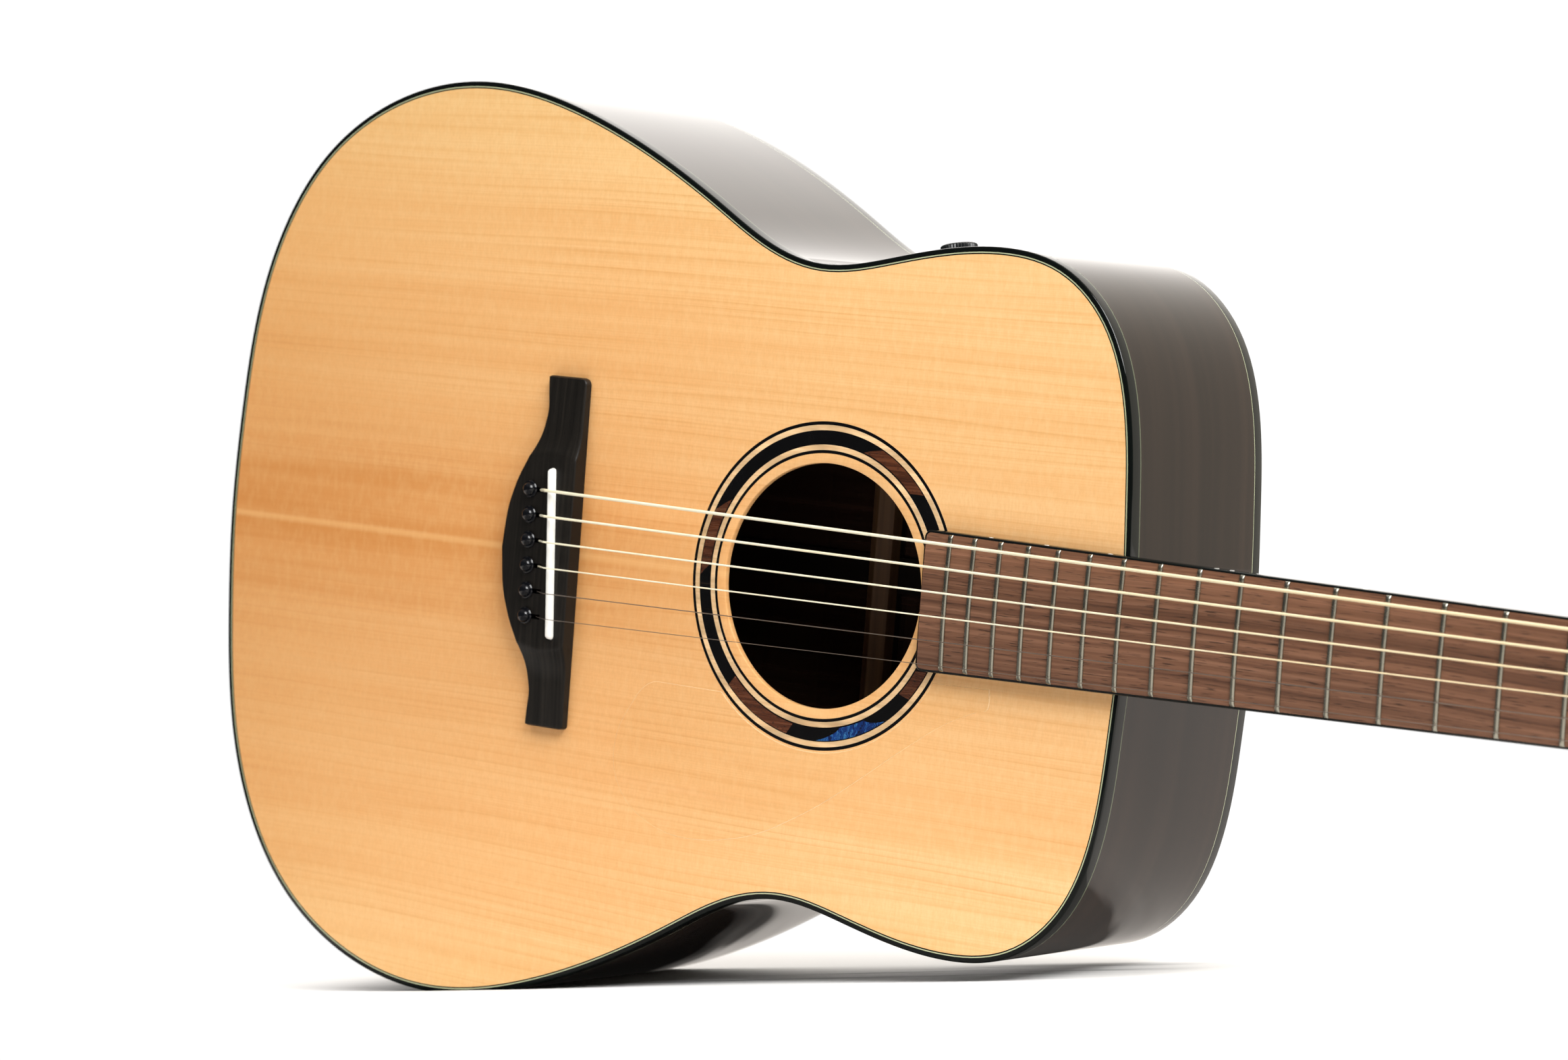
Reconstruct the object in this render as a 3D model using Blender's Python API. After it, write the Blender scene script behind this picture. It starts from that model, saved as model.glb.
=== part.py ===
"""Dreadnought acoustic-electric guitar, as an assembly of separate pieces.

Frame: +X runs along the neck towards the headstock, +Z is the bass side, the
soundboard faces -Y and the flat back faces +Y. The origin lies on the back's
outer face, on the centre line, at mid body length. "Front" means -Y here.
Lengths are millimetres until a mesh is made, and metres in the scene.
A shell is a (vertices, faces) pair in millimetres.
"""

import math

import bmesh
import bpy
import numpy as np
from mathutils import Matrix, Vector
from mathutils.geometry import tessellate_polygon

# ------------------------------------------------------------ main dimensions
MM = 0.001
GAP = 0.3  # clearance between neighbouring pieces

SCALE_LENGTH = 650.0  # open string length, nut to nominal saddle
X_SADDLE = -39.0  # nominal saddle line
X_NUT = X_SADDLE + SCALE_LENGTH

X_TAIL, X_NECK = -250.5, 250.5  # nominal ends of the body
TAIL_DEPTH, NECK_DEPTH = 124.0, 98.5
TOP = -(TAIL_DEPTH + NECK_DEPTH) / 2  # y of the soundboard's outer plane
BACK_SLOPE = (NECK_DEPTH - TAIL_DEPTH) / (X_NECK - X_TAIL)

# (x, z) knots of the body outline's +Z half, tail to neck.
OUTLINE = [
    (-251.0, 0.0), (-248.7, 48.4), (-239.8, 106.0), (-205.8, 167.5),
    (-156.0, 197.6), (-109.0, 204.8), (-47.3, 192.6), (29.0, 157.0),
    (64.5, 138.8), (84.2, 134.6), (123.4, 139.6), (173.9, 146.4),
    (206.3, 140.4), (231.0, 119.3), (242.9, 91.1), (248.5, 45.6), (250.5, 0.0),
]
STEPS_PER_KNOT = 16  # dense samples between neighbouring knots
HALF_COUNT = 27  # points kept on each half of the outline
STRAIGHT_WEIGHT = 0.045  # share of points that straight stretches still get

BINDING_W, BINDING_H = 2.2, 5.8
RIB_T, TOP_T, BACK_T = 2.4, 3.0, 2.6
LINING_IN, LINING_OUT, LINING_H = 8.9, 3.2, 14.0  # insets of its two faces, height
INNER_TOP = TOP + TOP_T + GAP  # y where parts inside meet the soundboard
INNER_BACK = BACK_T + GAP  # the same allowance, measured in from the back

HOLE_X, HOLE_R = 97.4, 51.5
ROSETTE_R = (55.7, 59.2, 59.5, 65.1, 65.4, 69.0)  # inner ring, band, outer ring
ROSETTE_DEPTH = 1.6

BOARD_BOTTOM = TOP - GAP
BOARD_TOP = BOARD_BOTTOM - 6.0
FRETS = 20
FRET_H = 1.1

STRING_D = (1.35, 1.07, 0.81, 0.61, 0.41, 0.30)  # bass to treble

BRIDGE_BOTTOM = TOP - GAP
BRIDGE_H = 7.2
BRIDGE_TOP = BRIDGE_BOTTOM - BRIDGE_H

PIN_X = (-60.0, -58.0)  # bass pin, treble pin
PIN_Z_BASS, PIN_Z_SPREAD = 26.8, 55.7
PIN_HOLE_R = 3.0
PIN_SLOT_HALF = 1.05
PIN_SLOT_REACH, BRIDGE_SLOT_REACH = 4.6, 8.6  # from the pin's centre towards +X
PINS = [  # (x, z) of each pin, bass to treble
    (PIN_X[0] + (PIN_X[1] - PIN_X[0]) * i / 5, PIN_Z_BASS - PIN_Z_SPREAD * i / 5)
    for i in range(6)
]

# ------------------------------------------------------------ empty the scene
for old in list(bpy.data.objects):
    bpy.data.objects.remove(old, do_unlink=True)
bpy.context.scene.unit_settings.scale_length = 1.0


# ------------------------------------------------------------------ materials
def material(name, rgb, roughness, metallic=0.0, alpha=1.0):
    mat = bpy.data.materials.new(name)
    mat.use_nodes = True
    shader = mat.node_tree.nodes["Principled BSDF"]
    shader.inputs["Base Color"].default_value = (*rgb, 1.0)
    shader.inputs["Roughness"].default_value = roughness
    shader.inputs["Metallic"].default_value = metallic
    shader.inputs["Alpha"].default_value = alpha
    mat.diffuse_color = (*rgb, alpha)
    return mat


SPRUCE = material("spruce", rgb=(0.72, 0.45, 0.19), roughness=0.25)
BRACE_WOOD = material("brace_spruce", rgb=(0.62, 0.45, 0.26), roughness=0.6)
ROSEWOOD = material("rosewood", rgb=(0.07, 0.045, 0.035), roughness=0.2)
BOARD_WOOD = material("fingerboard_rosewood", rgb=(0.11, 0.06, 0.04), roughness=0.5)
EBONY = material("ebony", rgb=(0.02, 0.018, 0.016), roughness=0.4)
MAHOGANY = material("mahogany", rgb=(0.20, 0.085, 0.04), roughness=0.3)
BLOCK_WOOD = material("block_wood", rgb=(0.32, 0.19, 0.11), roughness=0.6)
BLACK = material("black_plastic", rgb=(0.012, 0.012, 0.013), roughness=0.2)
CREAM = material("cream_inlay", rgb=(0.75, 0.72, 0.58), roughness=0.35)
BONE = material("bone", rgb=(0.85, 0.82, 0.74), roughness=0.35)
SILVER = material("nickel_silver", rgb=(0.75, 0.74, 0.70), roughness=0.25, metallic=1.0)
CHROME = material("chrome", rgb=(0.80, 0.80, 0.82), roughness=0.12, metallic=1.0)
STEEL = material("plain_steel", rgb=(0.70, 0.70, 0.70), roughness=0.25, metallic=1.0)
BRONZE = material("wound_bronze", rgb=(0.78, 0.58, 0.34), roughness=0.3, metallic=1.0)
FILM = material("clear_film", rgb=(0.80, 0.62, 0.40), roughness=0.08, alpha=0.35)


# --------------------------------------------------------- meshes and objects
def mesh_from(name, shell):
    """A mesh in metres from a shell, its faces turned outward."""
    verts, faces = shell
    mesh = bpy.data.meshes.new(name)
    mesh.from_pydata([tuple(c * MM for c in v) for v in verts], [], faces)
    bm = bmesh.new()
    bm.from_mesh(mesh)
    bmesh.ops.recalc_face_normals(bm, faces=bm.faces)
    bm.to_mesh(mesh)
    bm.free()
    return mesh


def carve(name, shell, steps):
    """The mesh left after Boolean steps [(operation, shell)] on a shell."""
    scene = bpy.context.scene.collection
    body = bpy.data.objects.new(name + "_work", mesh_from(name, shell))
    scene.objects.link(body)
    tools = []
    for i, (operation, tool_shell) in enumerate(steps):
        tool_name = f"{name}_tool{i}"
        tool = bpy.data.objects.new(tool_name, mesh_from(tool_name, tool_shell))
        scene.objects.link(tool)
        tools.append(tool)
        modifier = body.modifiers.new(f"cut{i}", "BOOLEAN")
        modifier.operation = operation
        modifier.object = tool
        modifier.solver = "EXACT"
    bpy.context.view_layer.update()
    graph = bpy.context.evaluated_depsgraph_get()
    result = bpy.data.meshes.new_from_object(body.evaluated_get(graph))
    for helper in [body] + tools:
        bpy.data.objects.remove(helper, do_unlink=True)
    result.name = name
    return result


def place(name, mesh, mat, matrix=None, smooth=32.0):
    """Links an object; edges sharper than smooth degrees stay sharp."""
    mesh.materials.clear()  # a mesh may be shared by several objects
    mesh.materials.append(mat)
    mesh.shade_smooth()
    mesh.set_sharp_from_angle(angle=math.radians(smooth))
    obj = bpy.data.objects.new(name, mesh)
    bpy.context.scene.collection.objects.link(obj)
    if matrix is not None:
        obj.matrix_world = matrix


def build(name, shell, mat, steps=(), matrix=None, smooth=32.0):
    """Makes one piece from a shell and its Boolean steps, and places it."""
    mesh = carve(name, shell, steps) if steps else mesh_from(name, shell)
    place(name, mesh, mat, matrix, smooth)


# --------------------------------------------------------------------- shells
def join_shells(shells):
    verts, faces = [], []
    for shell_verts, shell_faces in shells:
        start = len(verts)
        verts += shell_verts
        faces += [tuple(i + start for i in face) for face in shell_faces]
    return verts, faces


def loft(rings):
    """Joins rings of equal point count and closes both ends."""
    n = len(rings[0])
    verts = [tuple(p) for ring in rings for p in ring]
    faces = []
    for k in range(len(rings) - 1):
        for i in range(n):
            j = (i + 1) % n
            faces.append((k * n + i, k * n + j, (k + 1) * n + j, (k + 1) * n + i))
    faces.append(tuple(range(n))[::-1])
    faces.append(tuple(range((len(rings) - 1) * n, len(rings) * n)))
    return verts, faces


def lathe(profile, sides):
    """Turns (radius, height) points about +Z. Profiles that start and end on
    the axis close there; any other profile is treated as a closed loop."""
    verts, rows = [], []
    for radius, height in profile:
        if radius == 0:
            rows.append([len(verts)] * sides)
            verts.append((0.0, 0.0, height))
            continue
        rows.append(list(range(len(verts), len(verts) + sides)))
        for x, y in circle(0.0, 0.0, radius, sides):
            verts.append((x, y, height))
    pairs = list(zip(rows, rows[1:]))
    if profile[0][0] != 0 or profile[-1][0] != 0:
        pairs.append((rows[-1], rows[0]))
    faces = []
    for low, high in pairs:
        for i in range(sides):
            j = (i + 1) % sides
            face = []
            for index in (low[i], low[j], high[j], high[i]):
                if index not in face:
                    face.append(index)
            faces.append(tuple(face))
    return verts, faces


def cylinder(radius, low, high, sides):
    return lathe([(0, low), (radius, low), (radius, high), (0, high)], sides)


def plate(loops, front, back):
    """A solid between two height fields y = front(x, z) and y = back(x, z),
    over a region bounded by (x, z) loops: the outline, then its holes."""
    flat = [(x, z) for loop in loops for x, z in loop]
    triangles = tessellate_polygon([[Vector((x, z, 0)) for x, z in loop] for loop in loops])
    n = len(flat)
    verts = [(x, front(x, z), z) for x, z in flat]
    verts += [(x, back(x, z), z) for x, z in flat]
    faces = []
    for a, b, c in triangles:
        faces.append((a, b, c))
        faces.append((c + n, b + n, a + n))
    start = 0
    for loop in loops:
        count = len(loop)
        for i in range(count):
            a, b = start + i, start + (i + 1) % count
            faces.append((a, a + n, b + n, b))
        start += count
    return verts, faces


def ring_solid(outer, inner, front, back):
    """A closed strip between two loops of equal count."""
    n = len(outer)
    verts, faces = [], []
    for (xo, zo), (xi, zi) in zip(outer, inner):
        verts += [
            (xo, front(xo, zo), zo), (xi, front(xi, zi), zi),
            (xi, back(xi, zi), zi), (xo, back(xo, zo), zo),
        ]
    for i in range(n):
        j = (i + 1) % n
        for k in range(4):
            m = (k + 1) % 4
            faces.append((4 * i + k, 4 * i + m, 4 * j + m, 4 * j + k))
    return verts, faces


def tube(path, radius, sides=6):
    """A round rod along a path, on frames carried from point to point."""
    path = [Vector(p) for p in path]
    last = len(path) - 1
    tangents = [
        (path[min(i + 1, last)] - path[max(i - 1, 0)]).normalized()
        for i in range(len(path))
    ]
    normal = tangents[0].orthogonal().normalized()
    rings = []
    for i, point in enumerate(path):
        normal = (normal - tangents[i] * normal.dot(tangents[i])).normalized()
        side = tangents[i].cross(normal)
        spread = 1.0  # widens the ring at a bend, as a mitre does
        if 0 < i < last:
            before = (path[i] - path[i - 1]).normalized()
            spread = 1.0 / max(0.75, before.dot(tangents[i]))
        ring = []
        for k in range(sides):
            angle = 2 * math.pi * (k + 0.5) / sides
            ring.append(point + radius * (math.cos(angle) * normal + math.sin(angle) * side))
        rings.append(ring)
    return loft(rings)


def box(x0, x1, y0, y1, z0, z1):
    return loft([
        [(x, y0, z0), (x, y1, z0), (x, y1, z1), (x, y0, z1)] for x in (x0, x1)
    ])


def rounded_box(x0, x1, y0, y1, z0, z1, chamfer=2.0):
    """A box whose four edges along Z and low-Z rim are chamfered."""
    def ring(z, inset):
        left, right = x0 + inset, x1 - inset
        low, high = y0 + inset, y1 - inset
        return [
            (left + chamfer, low, z), (right - chamfer, low, z),
            (right, low + chamfer, z), (right, high - chamfer, z),
            (right - chamfer, high, z), (left + chamfer, high, z),
            (left, high - chamfer, z), (left, low + chamfer, z),
        ]
    rim = chamfer * 0.6
    return loft([ring(z0, rim), ring(z0 + rim, 0.0), ring(z1, 0.0)])


def circle(centre_x, centre_z, radius, count):
    angles = [2 * math.pi * i / count for i in range(count)]
    return [(centre_x + radius * math.cos(a), centre_z + radius * math.sin(a)) for a in angles]


def keyhole(x, z, slot_reach, count=9):
    """A round pin hole with a narrow slot towards +X for the string."""
    start = math.asin(PIN_SLOT_HALF / PIN_HOLE_R)
    loop = []
    for i in range(count):
        angle = start + (2 * math.pi - 2 * start) * i / (count - 1)
        loop.append((x + PIN_HOLE_R * math.cos(angle), z + PIN_HOLE_R * math.sin(angle)))
    return loop + [(x + slot_reach, z - PIN_SLOT_HALF), (x + slot_reach, z + PIN_SLOT_HALF)]


def along_x(shell, x, y, z):
    """Lays a shell made about +Z along +X, its origin on (x, y, z)."""
    return [(x + h, y + a, z + b) for a, b, h in shell[0]], shell[1]


def turn_to(axis):
    """The rotation that takes +Z to axis."""
    return Vector((0, 0, 1)).rotation_difference(Vector(axis)).to_matrix()


def stand_on(shell, foot, axis):
    """Turns a shell made about +Z so that it stands on foot along axis."""
    turn = turn_to(axis)
    return [tuple(turn @ Vector(v) + Vector(foot)) for v in shell[0]], shell[1]


def standing(foot, axis):
    """The object matrix that does what stand_on does to a shell."""
    return Matrix.Translation(Vector(foot) * MM) @ turn_to(axis).to_4x4()


# --------------------------------------------------------------- body outline
def periodic_spline(points):
    """Cubic spline through closed points: knots, chord lengths and tangents."""
    knots = np.array(points)
    chords = np.linalg.norm(np.roll(knots, -1, axis=0) - knots, axis=1)
    n = len(knots)
    system, target = np.zeros((n, n)), np.zeros((n, 2))
    for i in range(n):
        j = (i + 1) % n
        before, after = chords[i - 1], chords[i]
        system[i, i - 1] += after
        system[i, i] += 2 * (before + after)
        system[i, j] += before
        target[i] = 3 * (
            after * (knots[i] - knots[i - 1]) / before
            + before * (knots[j] - knots[i]) / after
        )
    return knots, chords, np.linalg.solve(system, target)


def dense_half():
    """Closely spaced points of the outline's +Z half, tail to neck, with
    outward normals and curvatures."""
    full = OUTLINE + [(x, -z) for x, z in OUTLINE[-2:0:-1]]
    knots, chords, tangents = periodic_spline(full)
    last = len(OUTLINE) - 1
    points, first, second = [], [], []  # positions, first and second derivatives
    for i in range(last):
        chord = chords[i]
        a, b = knots[i], knots[i + 1]
        slope_a, slope_b = tangents[i] * chord, tangents[i + 1] * chord
        for k in range(STEPS_PER_KNOT):
            t = k / STEPS_PER_KNOT
            points.append(
                (2 * t**3 - 3 * t**2 + 1) * a + (t**3 - 2 * t**2 + t) * slope_a
                + (3 * t**2 - 2 * t**3) * b + (t**3 - t**2) * slope_b
            )
            first.append(
                ((6 * t**2 - 6 * t) * a + (3 * t**2 - 4 * t + 1) * slope_a
                 + (6 * t - 6 * t**2) * b + (3 * t**2 - 2 * t) * slope_b) / chord
            )
            second.append(
                ((12 * t - 6) * a + (6 * t - 4) * slope_a
                 + (6 - 12 * t) * b + (6 * t - 2) * slope_b) / chord**2
            )
    points.append(knots[last])
    first.append(tangents[last])
    second.append(second[-1])
    points, first, second = map(np.array, (points, first, second))
    speed = np.linalg.norm(first, axis=1)
    normals = np.stack([-first[:, 1], first[:, 0]], axis=1) / speed[:, None]
    bend = np.abs(first[:, 0] * second[:, 1] - first[:, 1] * second[:, 0])
    return points, normals, bend / speed**3


DENSE, DENSE_NORMALS, DENSE_CURVATURE = dense_half()


def half_outline(z_tail=0.0, z_neck=0.0):
    """Points and outward normals of the +Z half, closer where it bends more,
    from z_tail at the tail end to z_neck at the neck end."""
    index = np.arange(len(DENSE), dtype=float)
    quarter = len(DENSE) // 4
    start = np.interp(z_tail, DENSE[:quarter, 1], index[:quarter])
    end = np.interp(z_neck, DENSE[-quarter:, 1][::-1], index[-quarter:][::-1])
    step = np.concatenate([[0], np.linalg.norm(np.diff(DENSE, axis=0), axis=1)])
    weight = np.cumsum(step * (STRAIGHT_WEIGHT + np.sqrt(DENSE_CURVATURE)))
    first, last = np.interp([start, end], index, weight)
    at = np.interp(np.linspace(first, last, HALF_COUNT), weight, index)
    points, normals = (
        np.stack([np.interp(at, index, source[:, c]) for c in (0, 1)], axis=1)
        for source in (DENSE, DENSE_NORMALS)
    )
    return points, normals / np.linalg.norm(normals, axis=1)[:, None]


HALF_POINTS, HALF_NORMALS = half_outline()
# On the centre line the normals lie exactly along X, so the halves meet.
HALF_NORMALS[0] = (-1.0, 0.0)
HALF_NORMALS[-1] = (1.0, 0.0)


def offset_loop(inset):
    """The closed body outline, moved inward by inset."""
    upper = [tuple(q) for q in HALF_POINTS - HALF_NORMALS * inset]
    lower = [(x, -z) for x, z in upper[-2:0:-1]]
    return upper + lower


def y_back(x):
    """Outer face of the flat back at x."""
    return BACK_SLOPE * x


def level(value):
    return lambda x, z: value


def from_back(distance):
    """A surface that lies distance inside the back's outer face."""
    return lambda x, z: y_back(x) - distance


# --------------------------------------------------- plates, binding, linings
def washer(inner_r, outer_r, front, back):
    """A ring about the sound hole; front and back are measured from TOP."""
    verts, faces = lathe(
        [(inner_r, front), (outer_r, front), (outer_r, back), (inner_r, back)], 36)
    return [(x + HOLE_X, TOP + h, z) for x, z, h in verts], faces


def build_plates():
    outline = offset_loop(BINDING_W + GAP)
    loops = [outline, circle(HOLE_X, 0.0, HOLE_R, 36)]
    loops += [keyhole(x, z, PIN_SLOT_REACH) for x, z in PINS]
    recess = washer(ROSETTE_R[0] - GAP, ROSETTE_R[5] + GAP, -1.0, ROSETTE_DEPTH + GAP)
    build("soundboard", plate(loops, level(TOP), level(TOP + TOP_T)), SPRUCE,
          [("DIFFERENCE", recess)])
    build("back_plate", plate([outline], from_back(BACK_T), from_back(0.0)), ROSEWOOD)


def build_edge_strips():
    """The bindings outside and the linings inside, at both plates."""
    outer, inner = offset_loop(0.0), offset_loop(BINDING_W)
    build("binding_top", ring_solid(
        outer, inner, level(TOP), level(TOP + BINDING_H)), BLACK)
    build("binding_back", ring_solid(
        outer, inner, from_back(BINDING_H), from_back(0.0)), BLACK)
    outer, inner = offset_loop(LINING_OUT), offset_loop(LINING_IN)
    build("lining_top", ring_solid(
        outer, inner, level(INNER_TOP), level(INNER_TOP + LINING_H)), BLOCK_WOOD)
    build("lining_back", ring_solid(
        outer, inner, from_back(INNER_BACK + LINING_H), from_back(INNER_BACK)), BLOCK_WOOD)


def build_rosette():
    for name, first, mat in (  # first is the index of the ring's inner radius
        ("rosette_ring_inner", 0, CREAM),
        ("rosette_band", 2, BOARD_WOOD),
        ("rosette_ring_outer", 4, CREAM),
    ):
        ring = washer(ROSETTE_R[first], ROSETTE_R[first + 1], 0.0, ROSETTE_DEPTH)
        build(name, ring, mat)


# ----------------------------------------------------------- sides and blocks
JACK_Y = TOP + TAIL_DEPTH / 2
JACK_R = 5.9
KNOB_X, KNOB_Y = 133.2, TOP + 32.0
SHAFT_HOLE_R = 3.2
RIB_NECK_Z = 9.6  # where each rib stops beside the neck's tenon

# The tenon of the neck in the neck block.
TENON_X, TENON_FRONT, TENON_BACK, TENON_HALF = X_NECK - 20.0, -88.0, -36.0, 9.0
BLOCK_GAP = 0.35  # between a block's notches and the linings

# The knob stands on the bass rib, square to it.
knob_index = int(np.argmin(np.abs(DENSE[:, 0] - KNOB_X)))
KNOB_FOOT = (float(DENSE[knob_index, 0]), KNOB_Y, float(DENSE[knob_index, 1]))
KNOB_AXIS = (
    float(DENSE_NORMALS[knob_index, 0]), 0.0, float(DENSE_NORMALS[knob_index, 1]))

JACK_CUT = (
    "DIFFERENCE",
    along_x(cylinder(JACK_R + GAP + 0.1, -30, 40, 20), X_TAIL, JACK_Y, 0.0),
)


def rib(sign):
    """One bent side: butts its twin at the tail, stops at the neck's tenon."""
    tail_z = GAP / 2
    front = TOP + BINDING_H + GAP
    back = from_back(BINDING_H + GAP)
    points, normals = half_outline(tail_z, RIB_NECK_Z)
    rings = []
    for (x, z), (normal_x, normal_z) in zip(points, normals):
        inner_x = x - normal_x * RIB_T
        inner_z = max(z - normal_z * RIB_T, tail_z)
        rings.append([
            (x, front, sign * z),
            (inner_x, front, sign * inner_z),
            (inner_x, back(inner_x, inner_z), sign * inner_z),
            (x, back(x, z), sign * z),
        ])
    return loft(rings)


def build_sides():
    shaft_hole = stand_on(cylinder(SHAFT_HOLE_R, -12, 6, 14), KNOB_FOOT, KNOB_AXIS)
    build("side_bass", rib(1), ROSEWOOD, [JACK_CUT, ("DIFFERENCE", shaft_hole)])
    build("side_treble", rib(-1), ROSEWOOD, [JACK_CUT])


def block(x_inner, x_notch, x_outer, half_width):
    """A block that fills the body's depth, notched for the linings."""
    front = INNER_TOP + LINING_H + BLOCK_GAP
    back = INNER_BACK + LINING_H + BLOCK_GAP
    profile = [
        (x_inner, INNER_TOP), (x_notch, INNER_TOP), (x_notch, front), (x_outer, front),
        (x_outer, y_back(x_outer) - back), (x_notch, y_back(x_notch) - back),
        (x_notch, y_back(x_notch) - INNER_BACK), (x_inner, y_back(x_inner) - INNER_BACK),
    ]
    return loft([[(x, y, z) for x, y in profile] for z in (-half_width, half_width)])


def build_blocks():
    mortise = box(
        TENON_X - GAP, 270.0, TENON_FRONT - GAP, TENON_BACK + GAP,
        -TENON_HALF - GAP, TENON_HALF + GAP)
    build("neck_block", block(186.0, 238.6, 245.0, half_width=42.0), BLOCK_WOOD,
          [("DIFFERENCE", mortise)])
    build("end_block", block(-224.5, -240.2, -246.4, half_width=35.0), BLOCK_WOOD,
          [JACK_CUT])


# -------------------------------------------------------------------- bracing
BRACE_INSET = LINING_IN + 0.6  # braces end this far inside the outline
X_CROSS, X_ANGLE = 8.0, math.radians(49.0)  # where the X crosses, leg from +X
TRANSVERSE_X = 169.5
LADDER_X = (-179.0, -74.0, 57.0, 160.0)
TONE_BAR_LEG_GAP = 24.0  # along z, from the first tone bar's end to the X
BRIDGE_PLATE_LOOP = [(-40.0, 47.0), (-76.0, 88.0), (-76.0, -88.0), (-40.0, -47.0)]  # (x, z)
BRIDGE_PLATE_T = 2.5


def unit_and_side(direction):
    """The unit vector along an (x, z) direction and the one square to it."""
    along = np.array(direction, float) / np.linalg.norm(direction)
    return along, np.array([-along[1], along[0]])


def free_length(start, direction, width):
    """How far a bar of this width can run from start before BRACE_INSET."""
    loop = np.array(offset_loop(BRACE_INSET))
    along, side = unit_and_side(direction)
    best = math.inf
    for k in (-1, 0, 1):  # the bar's two edges and its middle
        relative = loop - (np.array(start) + k * side * width / 2)
        ahead, across = relative @ along, relative @ side
        for i in range(len(loop)):
            j = (i + 1) % len(loop)
            if across[i] * across[j] <= 0 and across[i] != across[j]:
                t = across[i] / (across[i] - across[j])
                distance = ahead[i] + t * (ahead[j] - ahead[i])
                if distance > 0:
                    best = min(best, distance)
    return best


def span(centre, direction, width):
    """Both ends of the longest bar of this width through centre."""
    along, _ = unit_and_side(direction)
    return [
        np.array(centre) + way * along * free_length(centre, way * along, width)
        for way in (1, -1)
    ]


def brace(ends, width, height, end_height, taper, base=level(INNER_TOP), outward=1):
    """A ridged bar with lowered ends. base(x, z) is the glued face; outward is
    +1 when the brace stands towards +Y and -1 towards -Y."""
    start, end = (np.array(point, float) for point in ends)
    length = np.linalg.norm(end - start)
    along, side = unit_and_side(end - start)
    side = side * width / 2
    rings = []
    for distance, ridge in (
        (0, end_height), (taper, height), (length - taper, height), (length, end_height),
    ):
        middle = start + along * distance
        ring = []
        for (x, z), rise in (
            (middle + side, 0.0), (middle + side, ridge * 0.7), (middle, ridge),
            (middle - side, ridge * 0.7), (middle - side, 0.0),
        ):
            ring.append((x, base(x, z) + outward * rise, z))
        rings.append(ring)
    return loft(rings)


def build_x_brace():
    width = 8.0
    legs = []
    for sign in (1, -1):
        direction = (math.cos(X_ANGLE), sign * math.sin(X_ANGLE))
        ends = span((X_CROSS, 0.0), direction, width)
        legs.append(brace(ends, width, height=14.0, end_height=4.0, taper=45.0))
    build("x_brace", legs[0], BRACE_WOOD, [("UNION", legs[1])])


def build_transverse_brace():
    width = 12.0
    ends = span((TRANSVERSE_X, 0.0), (0, 1), width)
    build("transverse_brace", brace(
        ends, width, height=17.0, end_height=4.0, taper=30.0), BRACE_WOOD)


def build_bridge_plate():
    loops = [BRIDGE_PLATE_LOOP] + [keyhole(x, z, PIN_SLOT_REACH) for x, z in PINS]
    build("bridge_plate", plate(
        loops, level(INNER_TOP), level(INNER_TOP + BRIDGE_PLATE_T)), BLOCK_WOOD)


def build_tone_bars():
    width = 7.0

    def tone_bar(name, start, along, length):
        ends = (start, np.array(start) + along * length)
        build(name, brace(ends, width, height=11.0, end_height=3.0, taper=35.0), BRACE_WOOD)

    # The first stops short of the treble leg of the X.
    start = (-99.0, 98.0)
    along, _ = unit_and_side((-0.13, -1.0))
    leg_slope = math.tan(X_ANGLE)
    clear = leg_slope * (X_CROSS - start[0]) + start[1] - TONE_BAR_LEG_GAP
    tone_bar("tone_bar_1", start, along, clear / (leg_slope * along[0] - along[1]))

    # The second runs on to the treble lining.
    start = (-150.0, 138.0)
    along, _ = unit_and_side((-0.16, -1.0))
    tone_bar("tone_bar_2", start, along, free_length(start, along, width))


def build_back_bracing():
    """A strip along the centre line of the back, crossed by ladder braces."""
    verts, faces = box(-222.0, 183.0, -3.0, 0.0, -8.0, 8.0)
    strip = [(x, y_back(x) - INNER_BACK + y, z) for x, y, z in verts], faces
    width = 12.0
    ladder = []
    for x in LADDER_X:
        ladder.append(("UNION", brace(
            span((x, 0.0), (0, 1), width), width, height=14.0, end_height=4.0, taper=30.0,
            base=from_back(INNER_BACK), outward=-1)))
    build("back_bracing", strip, BRACE_WOOD, ladder)


# ------------------------------------------------------------------ pickguard
GUARD_R = ROSETTE_R[5] + 0.8
GUARD_ARC = (226.0, 331.0)  # degrees about the sound hole, from +X towards +Z
GUARD_ARC_STEPS = 14
GUARD_FRONT, GUARD_BACK = TOP - 0.5, TOP - 0.12
# (x, z) of the guard's outer edge, from its neck end round to its tail end.
GUARD_EDGE = [
    (187.2, -33.2), (187.1, -41.2), (179.6, -43.9), (164.5, -51.0),
    (144.0, -64.6), (110.0, -88.6), (87.9, -101.4), (73.2, -108.3),
    (58.2, -112.6), (43.0, -115.0), (28.0, -115.0), (14.0, -111.5),
    (1.0, -104.0), (-7.0, -92.0), (-8.0, -78.0), (-2.0, -64.0), (12.0, -50.0),
]


def build_pickguard():
    """Drop shape on the treble side, hugging the rosette."""
    start, end = (math.radians(angle) for angle in GUARD_ARC)
    arc = []
    for i in range(GUARD_ARC_STEPS + 1):
        angle = start + (end - start) * i / GUARD_ARC_STEPS
        arc.append((HOLE_X + GUARD_R * math.cos(angle), GUARD_R * math.sin(angle)))
    build("pickguard", plate(
        [GUARD_EDGE + arc], level(GUARD_FRONT), level(GUARD_BACK)), FILM)


# --------------------------------------------------------- neck and headstock
NECK_W_NUT, NECK_W_GROWTH = 43.2, 21.6 / SCALE_LENGTH
SECTION_DEPTHS = (0.0, 0.3, 0.6, 0.82, 0.95, 1.0)  # shares of a section's depth
FOOT_HALF = 2.2  # half width of the flat on the back of the shaft

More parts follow.
